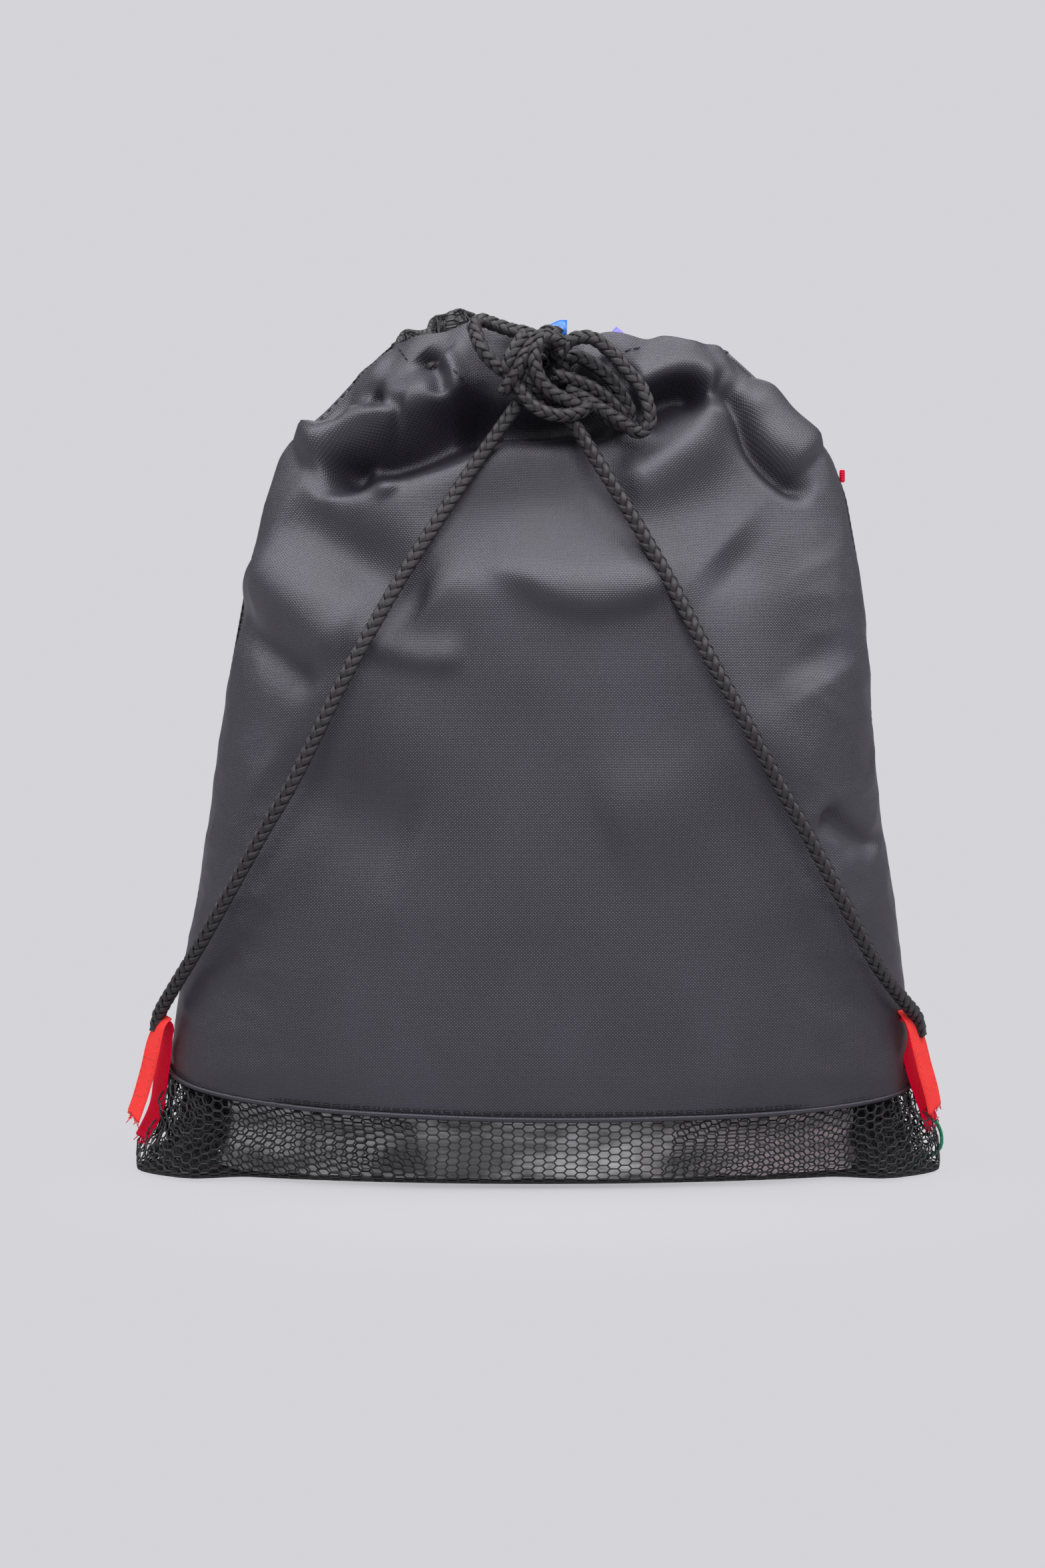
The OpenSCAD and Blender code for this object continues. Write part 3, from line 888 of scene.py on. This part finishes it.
def rear_panel_grid():
    """The rear's mesh from its seam up to its hem, gathered towards the top."""
    columns, rows = 200, 120
    grid, along = round_rows(180, 360, seam_height, hem_height, np.linspace(0, 1, rows + 1),
                             columns)
    normal = grid_normals(grid)
    x, y, z = grid[..., 0], grid[..., 1], grid[..., 2]
    edges = inner_share(columns)
    gathered = step_up(z, 228, 326) ** 1.5
    pleats = np.sin(along * 0.33 * (1 + gathered * 0.5) + ripples(x, y, z, 60, 3) * 2)
    lift = gathered * pleats * 2.0 + (1 - gathered) * ripples(x, y, z, 58, 31) * 1.8
    lift += step_up(z, 146, 224) * creases(x, y, z, 40, 17) * 2.2 - 1.5
    return grid + normal * (lift * edges)[..., None], np.stack([along, z], axis=-1)


def seam_line(start, above, proud):
    """Points along the seam between mesh and cloth, on one side of the bag."""
    turns = np.linspace(start + 1.2, start + 178.8, 180)
    return skin(turns, seam_height(turns) + above, proud)


def stitches(name, line, finish, length=2.7, space=1.1, radius=0.28):
    """A row of sewn stitches along a line of points in millimetres."""
    path = evenly(np.asarray(line, dtype=float), 0.3)
    run = round(length / 0.3)
    step = round((length + space) / 0.3)
    pieces = []
    for start in range(0, len(path) - run, step):
        part = path[start:start + run + 1:max(1, run // 3)]
        pieces.append(tube(name, part, radius, finish, sides=5, spacing=length / 3))
    return joined(pieces, name)


def ribbon(name, route, width, across, thickness, finish, seed, frayed=True):
    """A strip of webbing along a route, with a cut end that is a little ragged."""
    path = evenly(catmull(route, 8), 1.1)
    across = unit(np.array(across, dtype=float))
    ahead = unit(np.gradient(path, axis=0))
    side = unit(across - ahead * (ahead @ across)[:, None])
    face = np.cross(ahead, side)
    pick = np.random.default_rng(seed)
    count = 12
    shares = np.linspace(-0.5, 0.5, count + 1)
    wide = np.interp(np.arange(len(path)), [0, len(path) * 0.3, len(path)],
                     [width[0], width[1], width[1]])
    ring_points = []
    ragged = pick.uniform(-0.9, 1.2, count + 1) if frayed else np.zeros(count + 1)
    for hand in (1, -1):
        for share in (shares if hand == 1 else shares[::-1]):
            edge = math.sqrt(max(0.0, 1 - (2 * abs(share)) ** 6)) * 0.5 + 0.12
            line = path + side * (share * wide)[:, None] + face * hand * thickness * edge
            line[-1] += ahead[-1] * ragged[round((share + 0.5) * count)]
            ring_points.append(line)
    rings = np.stack(ring_points, axis=1)
    sides = rings.shape[1]
    uv_across = np.concatenate([shares * width[1], shares[::-1] * width[1]])
    uv = np.stack([np.tile(uv_across, len(path)), np.repeat(np.arange(len(path)) * 1.1, sides)],
                  axis=1)
    faces = grid_faces(len(path) - 1, sides, closed=True)
    last = (len(path) - 1) * sides
    faces.append(list(reversed(range(sides))))
    faces.append([last + i for i in range(sides)])
    piece = add_piece(name, rings.reshape(-1, 3), faces, finish, uv)
    apply_modifier(piece, "WELD", merge_threshold=0.00001)
    outward(piece)
    return piece, (path[-1], side[-1], ahead[-1])


def frayed_threads(name, end, width, finish, seed, count=16):
    """Loose threads at the cut end of a strip of webbing."""
    place, side, ahead = end
    pick = np.random.default_rng(seed)
    threads = []
    for i in range(count):
        root = place + side * width * (i / (count - 1) - 0.5) - ahead * 0.8
        drift = pick.normal(size=3) * 0.8
        reach = pick.uniform(1.6, 4.2)
        route = [root, root + ahead * reach * 0.5 + drift * 0.3, root + ahead * reach + drift]
        threads.append(tube(name, route, 0.17, finish, sides=4, spacing=0.8))
    return joined(threads, name)


def folded_bundle(name, centre, wide, deep, high, finish, seed):
    """A sack folded flat into layers: soft ridges along its long faces and creases across."""
    steps, around = 46, 72
    turns = np.linspace(0, 2 * np.pi, around, endpoint=False)
    rings = []
    for i in range(steps + 1):
        place = -1 + 2 * i / steps
        fall = (1 - abs(place) ** 9) ** 0.5 if abs(place) < 1 else 0.0
        c, s = np.cos(turns), np.sin(turns)
        y = np.sign(c) * np.abs(c) ** 0.42 * deep / 2 * (0.35 + 0.65 * fall)
        z = np.sign(s) * np.abs(s) ** 0.28 * high / 2 * (0.965 + 0.035 * fall)
        x = np.full(around, place * wide / 2)
        soft = ripples(x, y * 2, z, 70, seed) * 1.1 + creases(x, y, z, 52, seed + 3) * 1.3 - 1.6
        layers = np.cos(y / deep * 2 * np.pi * 4) * 0.8 * (np.abs(s) ** 6)
        y = y + np.sign(c) * soft * np.abs(c) ** 0.42
        rings.append(np.stack([x, y, z + layers], axis=1) + np.array(centre))
    points = np.concatenate(rings)
    faces = [tuple(reversed(face)) for face in grid_faces(steps, around, closed=True)]
    faces.append(list(range(around)))
    last = steps * around
    faces.append([last + i for i in reversed(range(around))])
    piece = add_piece(name, points, faces, finish)
    outward(piece)
    return piece


def metres(name, description, default):
    return bpy.props.FloatProperty(name=name, description=description, default=default,
                                   unit="LENGTH")


class BagSizes(bpy.types.PropertyGroup):
    """Sizes that a maker of such bags would choose"""
    cord_diameter: metres("Cord", "Diameter of the braided cord", 0.006)
    braid_pitch: metres("Braid pitch", "Length of cord in which a strand goes once round", 0.0170)
    weave_pitch: metres("Weave pitch", "Distance between yarns of the oxford cloth", 0.00062)
    cloth_thickness: metres("Cloth", "Thickness of the cloth", 0.0005)
    mesh_cell_width: metres("Mesh cell width", "Distance between columns of holes in the mesh",
                            0.00398)
    mesh_cell_height: metres("Mesh cell height", "Distance between rows of holes in the mesh",
                             0.0032)
    yarn_diameter: metres("Mesh yarn", "Thickness of the mesh's yarn", 0.00072)
    webbing_width: metres("Webbing", "Width of the red webbing", 0.016)


def colour(name, description, default):
    return bpy.props.FloatVectorProperty(name=name, description=description, default=default,
                                         subtype="COLOR", min=0, max=1)


class BagColours(bpy.types.PropertyGroup):
    """Base colours of the finishes"""
    cloth: colour("Cloth", "Oxford cloth of the strap side", (0.017, 0.015, 0.023))
    cord: colour("Cord", "Braided cord", (0.019, 0.017, 0.021))
    mesh: colour("Mesh", "Knitted mesh", (0.016, 0.016, 0.018))
    coral: colour("Outer webbing", "Lit face of the webbing tabs", (1.0, 0.055, 0.050))
    # The inner webbing's colour is the outer one's with painted shade: the same webbing seen on
    # its under face.
    crimson: colour("Inner webbing", "Under face of the webbing tabs", (0.72, 0.0, 0.035))
    film: colour("Film", "Clear film round the sacks", (0.80, 0.79, 0.81))
    blue: colour("Blue sack", "First sack", (0.01, 0.22, 0.85))
    purple: colour("Purple sack", "Second sack", (0.16, 0.13, 0.66))
    red: colour("Red sack", "Third sack", (0.62, 0.02, 0.05))
    green: colour("Green sack", "Fourth sack", (0.01, 0.30, 0.11))
    edging: colour("Edging", "Overlocked edge along the bottom", (0.01, 0.24, 0.12))
    floor: colour("Floor", "Floor and background", (0.665, 0.658, 0.690))


def settings():
    scene = bpy.context.scene
    return scene.bag_sizes, scene.bag_colours


class StageOperator(bpy.types.Operator):
    """Floor, background, lights and camera"""
    bl_idname = "sackbag.stage"
    bl_label = "Stage"

    def execute(self, context):
        _, colours = settings()
        context.scene.view_settings.view_transform = "Standard"
        self.add_camera()
        self.add_floor(colours)
        self.add_lights()
        return {"FINISHED"}

    def add_camera(self):
        data = bpy.data.cameras.new("camera")
        data.lens = 85
        data.sensor_width = 36
        data.clip_end = 60
        camera = bpy.data.objects.new("camera", data)
        bpy.context.scene.collection.objects.link(camera)
        aim = Vector((-0.0064, 0.0, 0.1522))
        elevation = math.radians(5)
        distance = 1.47
        camera.location = aim + Vector((0, -math.cos(elevation), math.sin(elevation))) * distance
        camera.rotation_euler = (aim - camera.location).to_track_quat("-Z", "Y").to_euler()
        bpy.context.scene.camera = camera

    def add_floor(self, colours):
        """A floor that fades into the background, and a shell that only the camera sees."""
        finish = Finish("floor", Roughness=0.75, Specular_IOR_Level=0.15)
        x, y, _ = finish.axes(finish.coords())
        away = finish.math("SQRT", x * x + y * y)
        grain = finish.noise(900, 2)
        finish.set("Base Color", finish.blend(grain * 0.06, shade(colours.floor, 0.70),
                                              shade(colours.floor, 0.67)))
        glow_colour = {"Color": (*colours.floor, 1.0)}
        glow = finish.node("ShaderNodeEmission", values=glow_colour)
        mixed = finish.node("ShaderNodeMixShader", values={0: finish.ramp(away, -0.2, 0.25)})
        finish.tree.links.new(finish.shader.outputs[0], mixed.inputs[1])
        finish.tree.links.new(glow.outputs[0], mixed.inputs[2])
        finish.tree.links.new(mixed.outputs[0], finish.output.inputs["Surface"])
        bpy.ops.object.select_all(action="DESELECT")
        bpy.ops.mesh.primitive_circle_add(vertices=96, radius=14, fill_type="NGON")
        floor = bpy.context.object
        floor.name = "floor"
        floor.data.materials.append(finish.material)
        back = Finish("background")
        light = back.node("ShaderNodeEmission", values=glow_colour)
        back.tree.links.new(light.outputs[0], back.output.inputs["Surface"])
        bpy.ops.mesh.primitive_uv_sphere_add(segments=48, ring_count=24, radius=13.5)
        shell = bpy.context.object
        shell.name = "background"
        shell.data.materials.append(back.material)
        shell.visible_diffuse = False
        shell.visible_glossy = False
        shell.visible_shadow = False
        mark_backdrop(floor, shell)

    def add_lights(self):
        world = bpy.context.scene.world or bpy.data.worlds.new("studio")
        bpy.context.scene.world = world
        world.use_nodes = True
        world.node_tree.nodes["Background"].inputs[0].default_value = (0.80, 0.79, 0.86, 1)
        world.node_tree.nodes["Background"].inputs[1].default_value = 0.20
        softboxes = (
            ("overhead box", (0.0, -0.15, 1.75), 2.7, 1.2, 33),
            ("front box", (0.05, -1.40, 1.60), 1.5, 0.8, 27),
            ("left box", (-1.25, -0.2, 1.45), 0.8, 1.1, 11),
            ("right box", (1.25, -0.2, 1.45), 0.8, 1.1, 12),
            ("rear box", (0.0, 1.9, 1.2), 1.4, 1.0, 6),
        )
        target = Vector((0, 0, 0.17))
        for name, place, wide, high, power in softboxes:
            data = bpy.data.lights.new(name, "AREA")
            data.shape = "RECTANGLE"
            data.size = wide
            data.size_y = high
            data.energy = power
            light = bpy.data.objects.new(name, data)
            bpy.context.scene.collection.objects.link(light)
            light.location = place
            light.rotation_euler = (target - light.location).to_track_quat("-Z", "Y").to_euler()


class CordsOperator(bpy.types.Operator):
    """Braided cord: straps, bow, knot and the run inside the channel"""
    bl_idname = "sackbag.cords"
    bl_label = "Cords"

    def execute(self, context):
        sizes, colours = settings()
        finish = braid_finish(colours)
        wraps = []
        for i, route in enumerate(KNOT_WRAPS):
            wrap, _ = braid(f"knot_wrap_{i + 1}", route, finish, sizes, crowd=i * 0.7)
            wraps.append(wrap)
        knot = joined(wraps, "tied_knot")
        install(knot, "bag", "cord", "knot")
        middle, _ = braid("middle_loop_strand", MIDDLE_LOOP, finish, sizes)
        install(middle, "right_inner_loop", "cord")
        free = (
            ("left_braided_strap", LEFT_STRAP, "left_strap", "left_strap_cord", [knot]),
            ("right_braided_strap", RIGHT_STRAP, "right_strap", "right_strap_cord", []),
            ("left_braided_loop", LEFT_LOOP, "left_loop", "left_bow_loop", []),
            ("outer_braided_loop", OUTER_LOOP, "right_outer_loop", "right_outer_bow_loop", []),
            ("inner_braided_loop", INNER_LOOP, "right_inner_loop", "right_inner_bow_loop",
             [middle]),
        )
        for name, route, body, node, extra in free:
            cord, path = braid(name, route, finish, sizes)
            install(cord, body, "cord", node)
            (path[0] * MM).tolist()
            "taut" if "strap" in name else "loose"
            (path * MM).tolist()
        self.add_channel_run(finish, sizes)
        return {"FINISHED"}

    def add_channel_run(self, finish, sizes):
        """The cord's way round inside the channel, from one side of the knot to the other."""
        turns = np.linspace(84, -264, 60)
        level = 322 - 12 * np.cos(np.radians(turns)) ** 2
        inside = -6.5
        run = [tuple(skin(np.array(turn), np.array(z), inside))
               for turn, z in zip(turns % 360, level)]
        route = [(-6, -35, 318), *run, (1.5, -35, 317)]
        cord, _ = braid("channel_braid", route, finish, sizes)
        install(cord, "bag", "cord", "channel_cord")


class ClothOperator(bpy.types.Operator):
    """Cloth of the strap side, with its drawstring channel"""
    bl_idname = "sackbag.cloth"
    bl_label = "Strap side cloth"

    def execute(self, context):
        sizes, colours = settings()
        finish = cloth_finish(colours, sizes)
        grid, uv = strap_side_grid()
        thread = thread_finish("dark sewing thread", (0.006, 0.006, 0.007))
        self.add_hem_stitches(grid, thread)
        grid, uv = turned_in(grid, uv, HEM_DEPTH, HEM_ROOM)
        piece = cloth_surface("strap_side_cloth", grid, uv, finish, sizes.cloth_thickness)
        install(piece, "bag", "cloth", "strap_side_panel", "strap_side_channel")
        return {"FINISHED"}

    def add_hem_stitches(self, grid, thread):
        """Short runs of the channel's stitching that show between the folds."""
        runs = (
            [(-33, 315), (-29, 311), (-26, 307)],
            [(30, 320), (35, 323), (42, 324)],
            [(-55, 324), (-52, 320), (-50, 317)],
        )
        flat = grid.reshape(-1, 3)
        rows = []
        for points in runs:
            line = evenly(catmull([(x, 0, z) for x, z in points], 6), 1.0)
            for point in line:
                away = np.hypot(flat[:, 0] - point[0], flat[:, 2] - point[2])
                near = np.argsort(away + (flat[:, 1] > 0) * 99)[:4]
                point[1] = flat[near, 1].min() - 0.15
            rows.append(stitches("channel_stitching", line, thread, 3.4, 0.5, 0.26))
        piece = joined(rows, "channel_stitching")
        install(piece, "bag", "cloth")


class MeshOperator(bpy.types.Operator):
    """Knitted mesh: both strips round the base, and the rear with its channel"""
    bl_idname = "sackbag.mesh"
    bl_label = "Mesh"

    def execute(self, context):
        sizes, colours = settings()
        finish = mesh_finish(colours)
        for name, node, start, seed in (("strap_side_knit", "strap_side_mesh", 0, 5),
                                        ("rear_knit", "rear_mesh", 180, 12)):
            piece = hex_cloth(name, mesh_strip_grid(start, seed), finish, sizes)
            self.finish_sheet(piece, (0.40, 0.085), node)
        self.add_layers(finish, sizes)
        self.add_cores(colours)
        grid, uv = rear_panel_grid()
        grid, _ = turned_in(grid, uv, HEM_DEPTH, HEM_ROOM)
        columns = grid.shape[1] - 1
        third = columns // 3
        parts = (("rear_panel_knit_right", 0, third), ("rear_panel_knit_middle", third, 2 * third),
                 ("rear_panel_knit_left", 2 * third, columns))
        for name, first, last in parts:
            piece = hex_cloth(name, grid[:, first:last + 1], finish, sizes)
            nodes = ("rear_panel", "rear_channel") if "middle" in name else ()
            self.finish_sheet(piece, (0.13, 0.36), *nodes)
        self.add_rear_hem(colours)
        return {"FINISHED"}

    def add_layers(self, finish, sizes):
        """Loose layers behind the strips: crumpled in the lower corners, flatter between them."""
        layers = (
            ("left_ear_layer", -38, 30, -3.5, 16, 1.6, 31),
            ("left_ear_crumple", -30, 34, -7.5, 13, 2.2, 32),
            ("right_ear_layer", 150, 218, -3.5, 16, 1.6, 33),
            ("right_ear_crumple", 146, 210, -7.5, 13, 2.2, 34),
            ("inner_left_layer", 24, 74, -2.0, 40, 0.5, 35),
            ("inner_right_layer", 108, 156, -2.0, 34, 0.6, 36),
        )
        slack = 1.3
        for name, start, end, proud, spread, rough, seed in layers:
            grid = mesh_layer_grid(start, end, proud, spread, rough, seed)
            piece = hex_cloth(name, grid, finish, sizes)
            self.finish_sheet(piece, tuple(round(extent * MM * slack, 3)
                                           for extent in grid_size(grid)))

    def add_cores(self, colours):
        """Mesh pressed together deep in the lower corners, where no light comes through."""
        pressed = gathered_mesh_finish(colours)
        for name, start, end, seed in (("left_ear_core", -34, 32, 37),
                                       ("right_ear_core", 148, 214, 38)):
            grid = mesh_layer_grid(start, end, -10.5, 15, 1.4, seed)
            uv = np.stack([[distances(row) for row in grid], grid[..., 2]], axis=-1)
            piece = cloth_surface(name, grid, uv, pressed, GATHERED_THICKNESS)
            install(piece, "bag", "mesh")

    def add_rear_hem(self, colours):
        """The rear's channel: mesh turned in and drawn together until its holes close."""
        grid, uv = rear_panel_grid()
        first = int(len(grid) * 0.945)
        grid, uv = grid[first:], uv[first:]
        grid = grid + grid_normals(grid) * 0.9
        grid, uv = turned_in(grid, uv, 10, 3.0)
        band = cloth_surface("rear_hem_gathers", grid, uv, gathered_mesh_finish(colours),
                             GATHERED_THICKNESS)
        install(band, "bag", "mesh")

    def finish_sheet(self, piece, flat, *nodes):
        install(piece, "bag", "mesh", *nodes)
        yarn_share = 0.42
        flat[0] * flat[1] * yarn_share


class SeamsOperator(bpy.types.Operator):
    """Rolled edges, side seams, bottom seam and topstitching"""
    bl_idname = "sackbag.seams"
    bl_label = "Seams"

    def execute(self, context):
        _, colours = settings()
        cloth = bpy.data.materials["oxford cloth"]
        thread = bpy.data.materials["dark sewing thread"]
        for side, node, start in (("strap_side", "strap_side_mesh_edge", 0),
                                  ("rear", "rear_mesh_edge", 180)):
            edge = tube(f"{side}_rolled_edge", seam_line(start, 0.4, 0.35), 1.35, cloth, 10, 1.5,
                        0.7)
            install(edge, "bag", "cloth", node)
            row = stitches(f"{side}_topstitching", seam_line(start, 2.9, 0.35), thread)
            install(row, "bag", "cloth")
        for side, turn, node in (("left", 0, "left_side_seam"), ("right", 180, "right_side_seam")):
            heights = np.linspace(44 if side == "left" else 38, 320, 60)
            line = skin(np.full(60, float(turn)), heights, -3.2)
            allowance = tube(f"{side}_seam_allowance", line, 3.2, cloth, 10, 3, 0.28)
            install(allowance, "bag", "cloth", node)
        self.add_bottom_seam(colours)
        return {"FINISHED"}

    def add_bottom_seam(self, colours):
        """An overlocked edge: a core of thread with loops thrown over it."""
        green = thread_finish("green overlock thread", colours.edging)
        line = [(-150, 0.5, 1.6), (-80, -0.5, 1.5), (0, 0.5, 1.5), (80, -0.5, 1.5), (140, -1, 1.6),
                (153, -3, 2.4), (160, -4, 6), (161, -3, 12), (158.5, -2, 18)]
        path = evenly(catmull(line, 8), 1.0)
        core = tube("overlocked_bottom_edge", path, 0.8, green, 6, 2.0)
        zigzag = path.copy()
        zigzag[:, 1] += np.where(np.arange(len(zigzag)) % 2 == 0, 0.9, -0.9)
        zigzag[:, 2] += 0.5
        loops = tube("overlocked_bottom_edge", zigzag, 0.28, green, 4, 0.7)
        bit = tube("overlocked_bottom_edge", [(146, -9, 34), (148, -8, 37), (149, -6, 40)], 0.9,
                   green, 6, 1.5)
        piece = joined([core, loops, bit], "overlocked_bottom_edge")
        install(piece, "bag", "edge_thread", "bottom_seam")


class TabsOperator(bpy.types.Operator):
    """Folded webbing tabs at the lower corners, their stitching, and the side label"""
    bl_idname = "sackbag.tabs"
    bl_label = "Webbing tabs"

    def execute(self, context):
        sizes, colours = settings()
        # Each webbing's third colour is its painted shade between the ribs.
        coral = webbing_finish("coral webbing", colours.coral, shade(colours.coral, 0.6))
        # The inner strips and the label use a copy of the webbing with painted shade.
        crimson = webbing_finish("crimson webbing", colours.crimson, shade(colours.crimson, 0.45))
        thread = thread_finish("red sewing thread", (0.8, 0.05, 0.04))
        wide = sizes.webbing_width * 1000
        thick = 0.95
        tabs = (
            ("left", "left_strap", (0.47, -0.88, 0.0),
             [(-146, -21, 62), (-149, -22, 59), (-152, -20.5, 50), (-154.5, -18.5, 40),
              (-157.5, -16.5, 30), (-160.5, -15.5, 21.5)],
             [(-146.5, -20, 61), (-146.5, -17, 57), (-148, -15, 48), (-149.5, -14, 38),
              (-151.5, -13.5, 25), (-157, -14, 13)]),
            ("right", "right_strap", (0.47, 0.88, 0.0),
             [(143, -25, 65), (146, -27, 61), (149, -25.5, 53), (152, -23, 42), (155, -20, 32),
              (156.5, -18.5, 25)],
             [(143.5, -24, 64), (144, -21, 59), (146, -19, 49), (149, -17.5, 38),
              (152.5, -16, 28), (155.5, -15.5, 19)]),
        )
        for side, body, across, outer, inner in tabs:
            name = f"{side}_tab"
            first, first_end = ribbon(name, outer, (wide * 0.55, wide * 0.85), across, thick,
                                      coral, 3)
            second, second_end = ribbon(name, inner, (wide * 0.55, wide * 0.9), across, thick,
                                        crimson, 8)
            frays = [frayed_threads(name, first_end, wide * 0.8, coral, 11),
                     frayed_threads(name, second_end, wide * 0.85, crimson, 12)]
            tab = joined([first, second, *frays], f"{side}_folded_webbing")
            install(tab, body, "webbing", name)
            self.add_stitching(side, body, outer, across, thread)
        self.add_label(crimson)
        return {"FINISHED"}

    def add_stitching(self, side, body, route, across, thread):
        """Two rows across the outer strip and one down each of its edges."""
        path = evenly(catmull(route, 8), 1.1)
        across = unit(np.array(across))
        ahead = unit(np.gradient(path, axis=0))
        face = np.cross(ahead, across)
        rows = []
        for hand in (1, -1):
            for share in (0.42, 0.80):
                i = int(share * len(path))
                ends = [path[i] + across * reach + face[i] * hand * 0.6
                        for reach in (-4.6, 0, 4.6)]
                rows.append(stitches("tab_stitching", ends, thread, 2.0, 1.0, 0.22))
            for reach in (-4.9, 4.9):
                inner = path[8:-6] + across * reach + face[8:-6] * hand * 0.55
                rows.append(stitches("tab_stitching", inner, thread, 2.0, 1.0, 0.22))
        piece = joined(rows, f"{side}_webbing_stitching")
        install(piece, body, "tab_thread", f"{side}_tab_stitching")

    def add_label(self, finish):
        """A blank folded label in the right side seam."""
        low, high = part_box("side_label")
        middle = (low + high) / 2 / MM
        start = np.array([low.x / MM, low.y / MM + 0.3, middle.z])
        end = np.array([high.x / MM - 0.4, high.y / MM - 0.3, middle.z])
        route = [start, start * 0.5 + end * 0.5 + np.array([0.2, -0.1, 0]), end]
        label, _ = ribbon("folded_label", route, (5.0, 5.0), (0, 0, 1), 0.75, finish, 5, False)
        install(label, "label", "webbing", "side_label")


class ContentsOperator(bpy.types.Operator):
    """Film bag and the folded sacks inside"""
    bl_idname = "sackbag.contents"
    bl_label = "Contents"

    def execute(self, context):
        _, colours = settings()
        self.add_film(colours)
        top = 197.5
        for i, tint in enumerate(("red", "blue", "purple", "green")):
            low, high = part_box(f"{tint}_sack")
            wide = (high.x - low.x) / MM
            bottom = low.z / MM
            centre = (4, (i - 1.5) * 21.5, (bottom + top) / 2)
            finish = nylon_finish(f"{tint} nylon", getattr(colours, tint))
            name = f"folded_{tint}_sack"
            parts = [folded_bundle(name, centre, wide - 2, 20.4, top - bottom - 1, finish,
                                   40 + i)]
            for radius, route in LOOSE_ENDS.get(tint, ()):
                parts.append(tube("loose_end", route, radius, finish, 12, 2, 0.42))
            piece = joined(parts, name) if len(parts) > 1 else parts[0]
            install(piece, "bag", f"{tint}_cloth", f"{tint}_sack")
        return {"FINISHED"}

    def add_film(self, colours):
        """Thin film that follows the bag near its base and closes round the sacks above."""
        columns, rows = 200, 84
        turns = np.linspace(0, 360, columns, endpoint=False)
        heights = np.linspace(3.2, 206, rows + 1)
        points = []
        for z in heights:
            inset = -4.6 - 8.0 * step_up(z, 44, 110)
            ring = skin(turns, np.full(columns, z), inset)
            x, y = ring[:, 0], ring[:, 1]
            narrow = np.clip(np.abs(x) / 122, 1, None)
            out = np.stack([x / 120, y / 50, 0 * x], axis=1)
            out /= np.maximum(np.linalg.norm(out, axis=1, keepdims=True), 1e-6)
            crumple = (creases(x, y * 1.5, ring[:, 2], 34, 55) - 0.75) * 5.5
            ring = ring + out * np.minimum(crumple, 1.6)[:, None]
            ring[:, 0] /= narrow ** 0.85
            points.append(ring)
        base = []
        for share in (0.15, 0.5, 0.85, 0.97):
            ring = points[0].copy()
            ring[:, :2] *= share
            ring[:, 2] = 2.4
            base.append(ring)
        whole = np.concatenate([*base, *points])
        faces = grid_faces(len(base) + rows, columns, closed=True)
        piece = add_piece("crumpled_film", whole, faces, film_finish(colours))
        install(piece, "bag", "film", "clear_sleeve")


class BagPanel(bpy.types.Panel):
    """Steps that build the bag"""
    bl_idname = "VIEW3D_PT_sack_bag"
    bl_label = "Sack Bag"
    bl_space_type = "VIEW_3D"
    bl_region_type = "UI"
    bl_category = "Sack Bag"

    def draw(self, context):
        layout = self.layout
        for group in (context.scene.bag_sizes, context.scene.bag_colours):
            box = layout.box()
            for name in group.__annotations__:
                box.prop(group, name)
        for step in STEPS:
            layout.operator(step.bl_idname)


STEPS = (StageOperator, CordsOperator, ClothOperator, MeshOperator, SeamsOperator, TabsOperator,
         ContentsOperator)
CLASSES = (BagSizes, BagColours, *STEPS, BagPanel)


def register():
    for item in CLASSES:
        bpy.utils.register_class(item)
    bpy.types.Scene.bag_sizes = bpy.props.PointerProperty(type=BagSizes)
    bpy.types.Scene.bag_colours = bpy.props.PointerProperty(type=BagColours)


def unregister():
    del bpy.types.Scene.bag_colours
    del bpy.types.Scene.bag_sizes
    for item in reversed(CLASSES):
        bpy.utils.unregister_class(item)


def main():
    register()
    for step in STEPS:
        group, name = step.bl_idname.split(".")
        getattr(getattr(bpy.ops, group), name)()


if __name__ == "__main__":
    main()
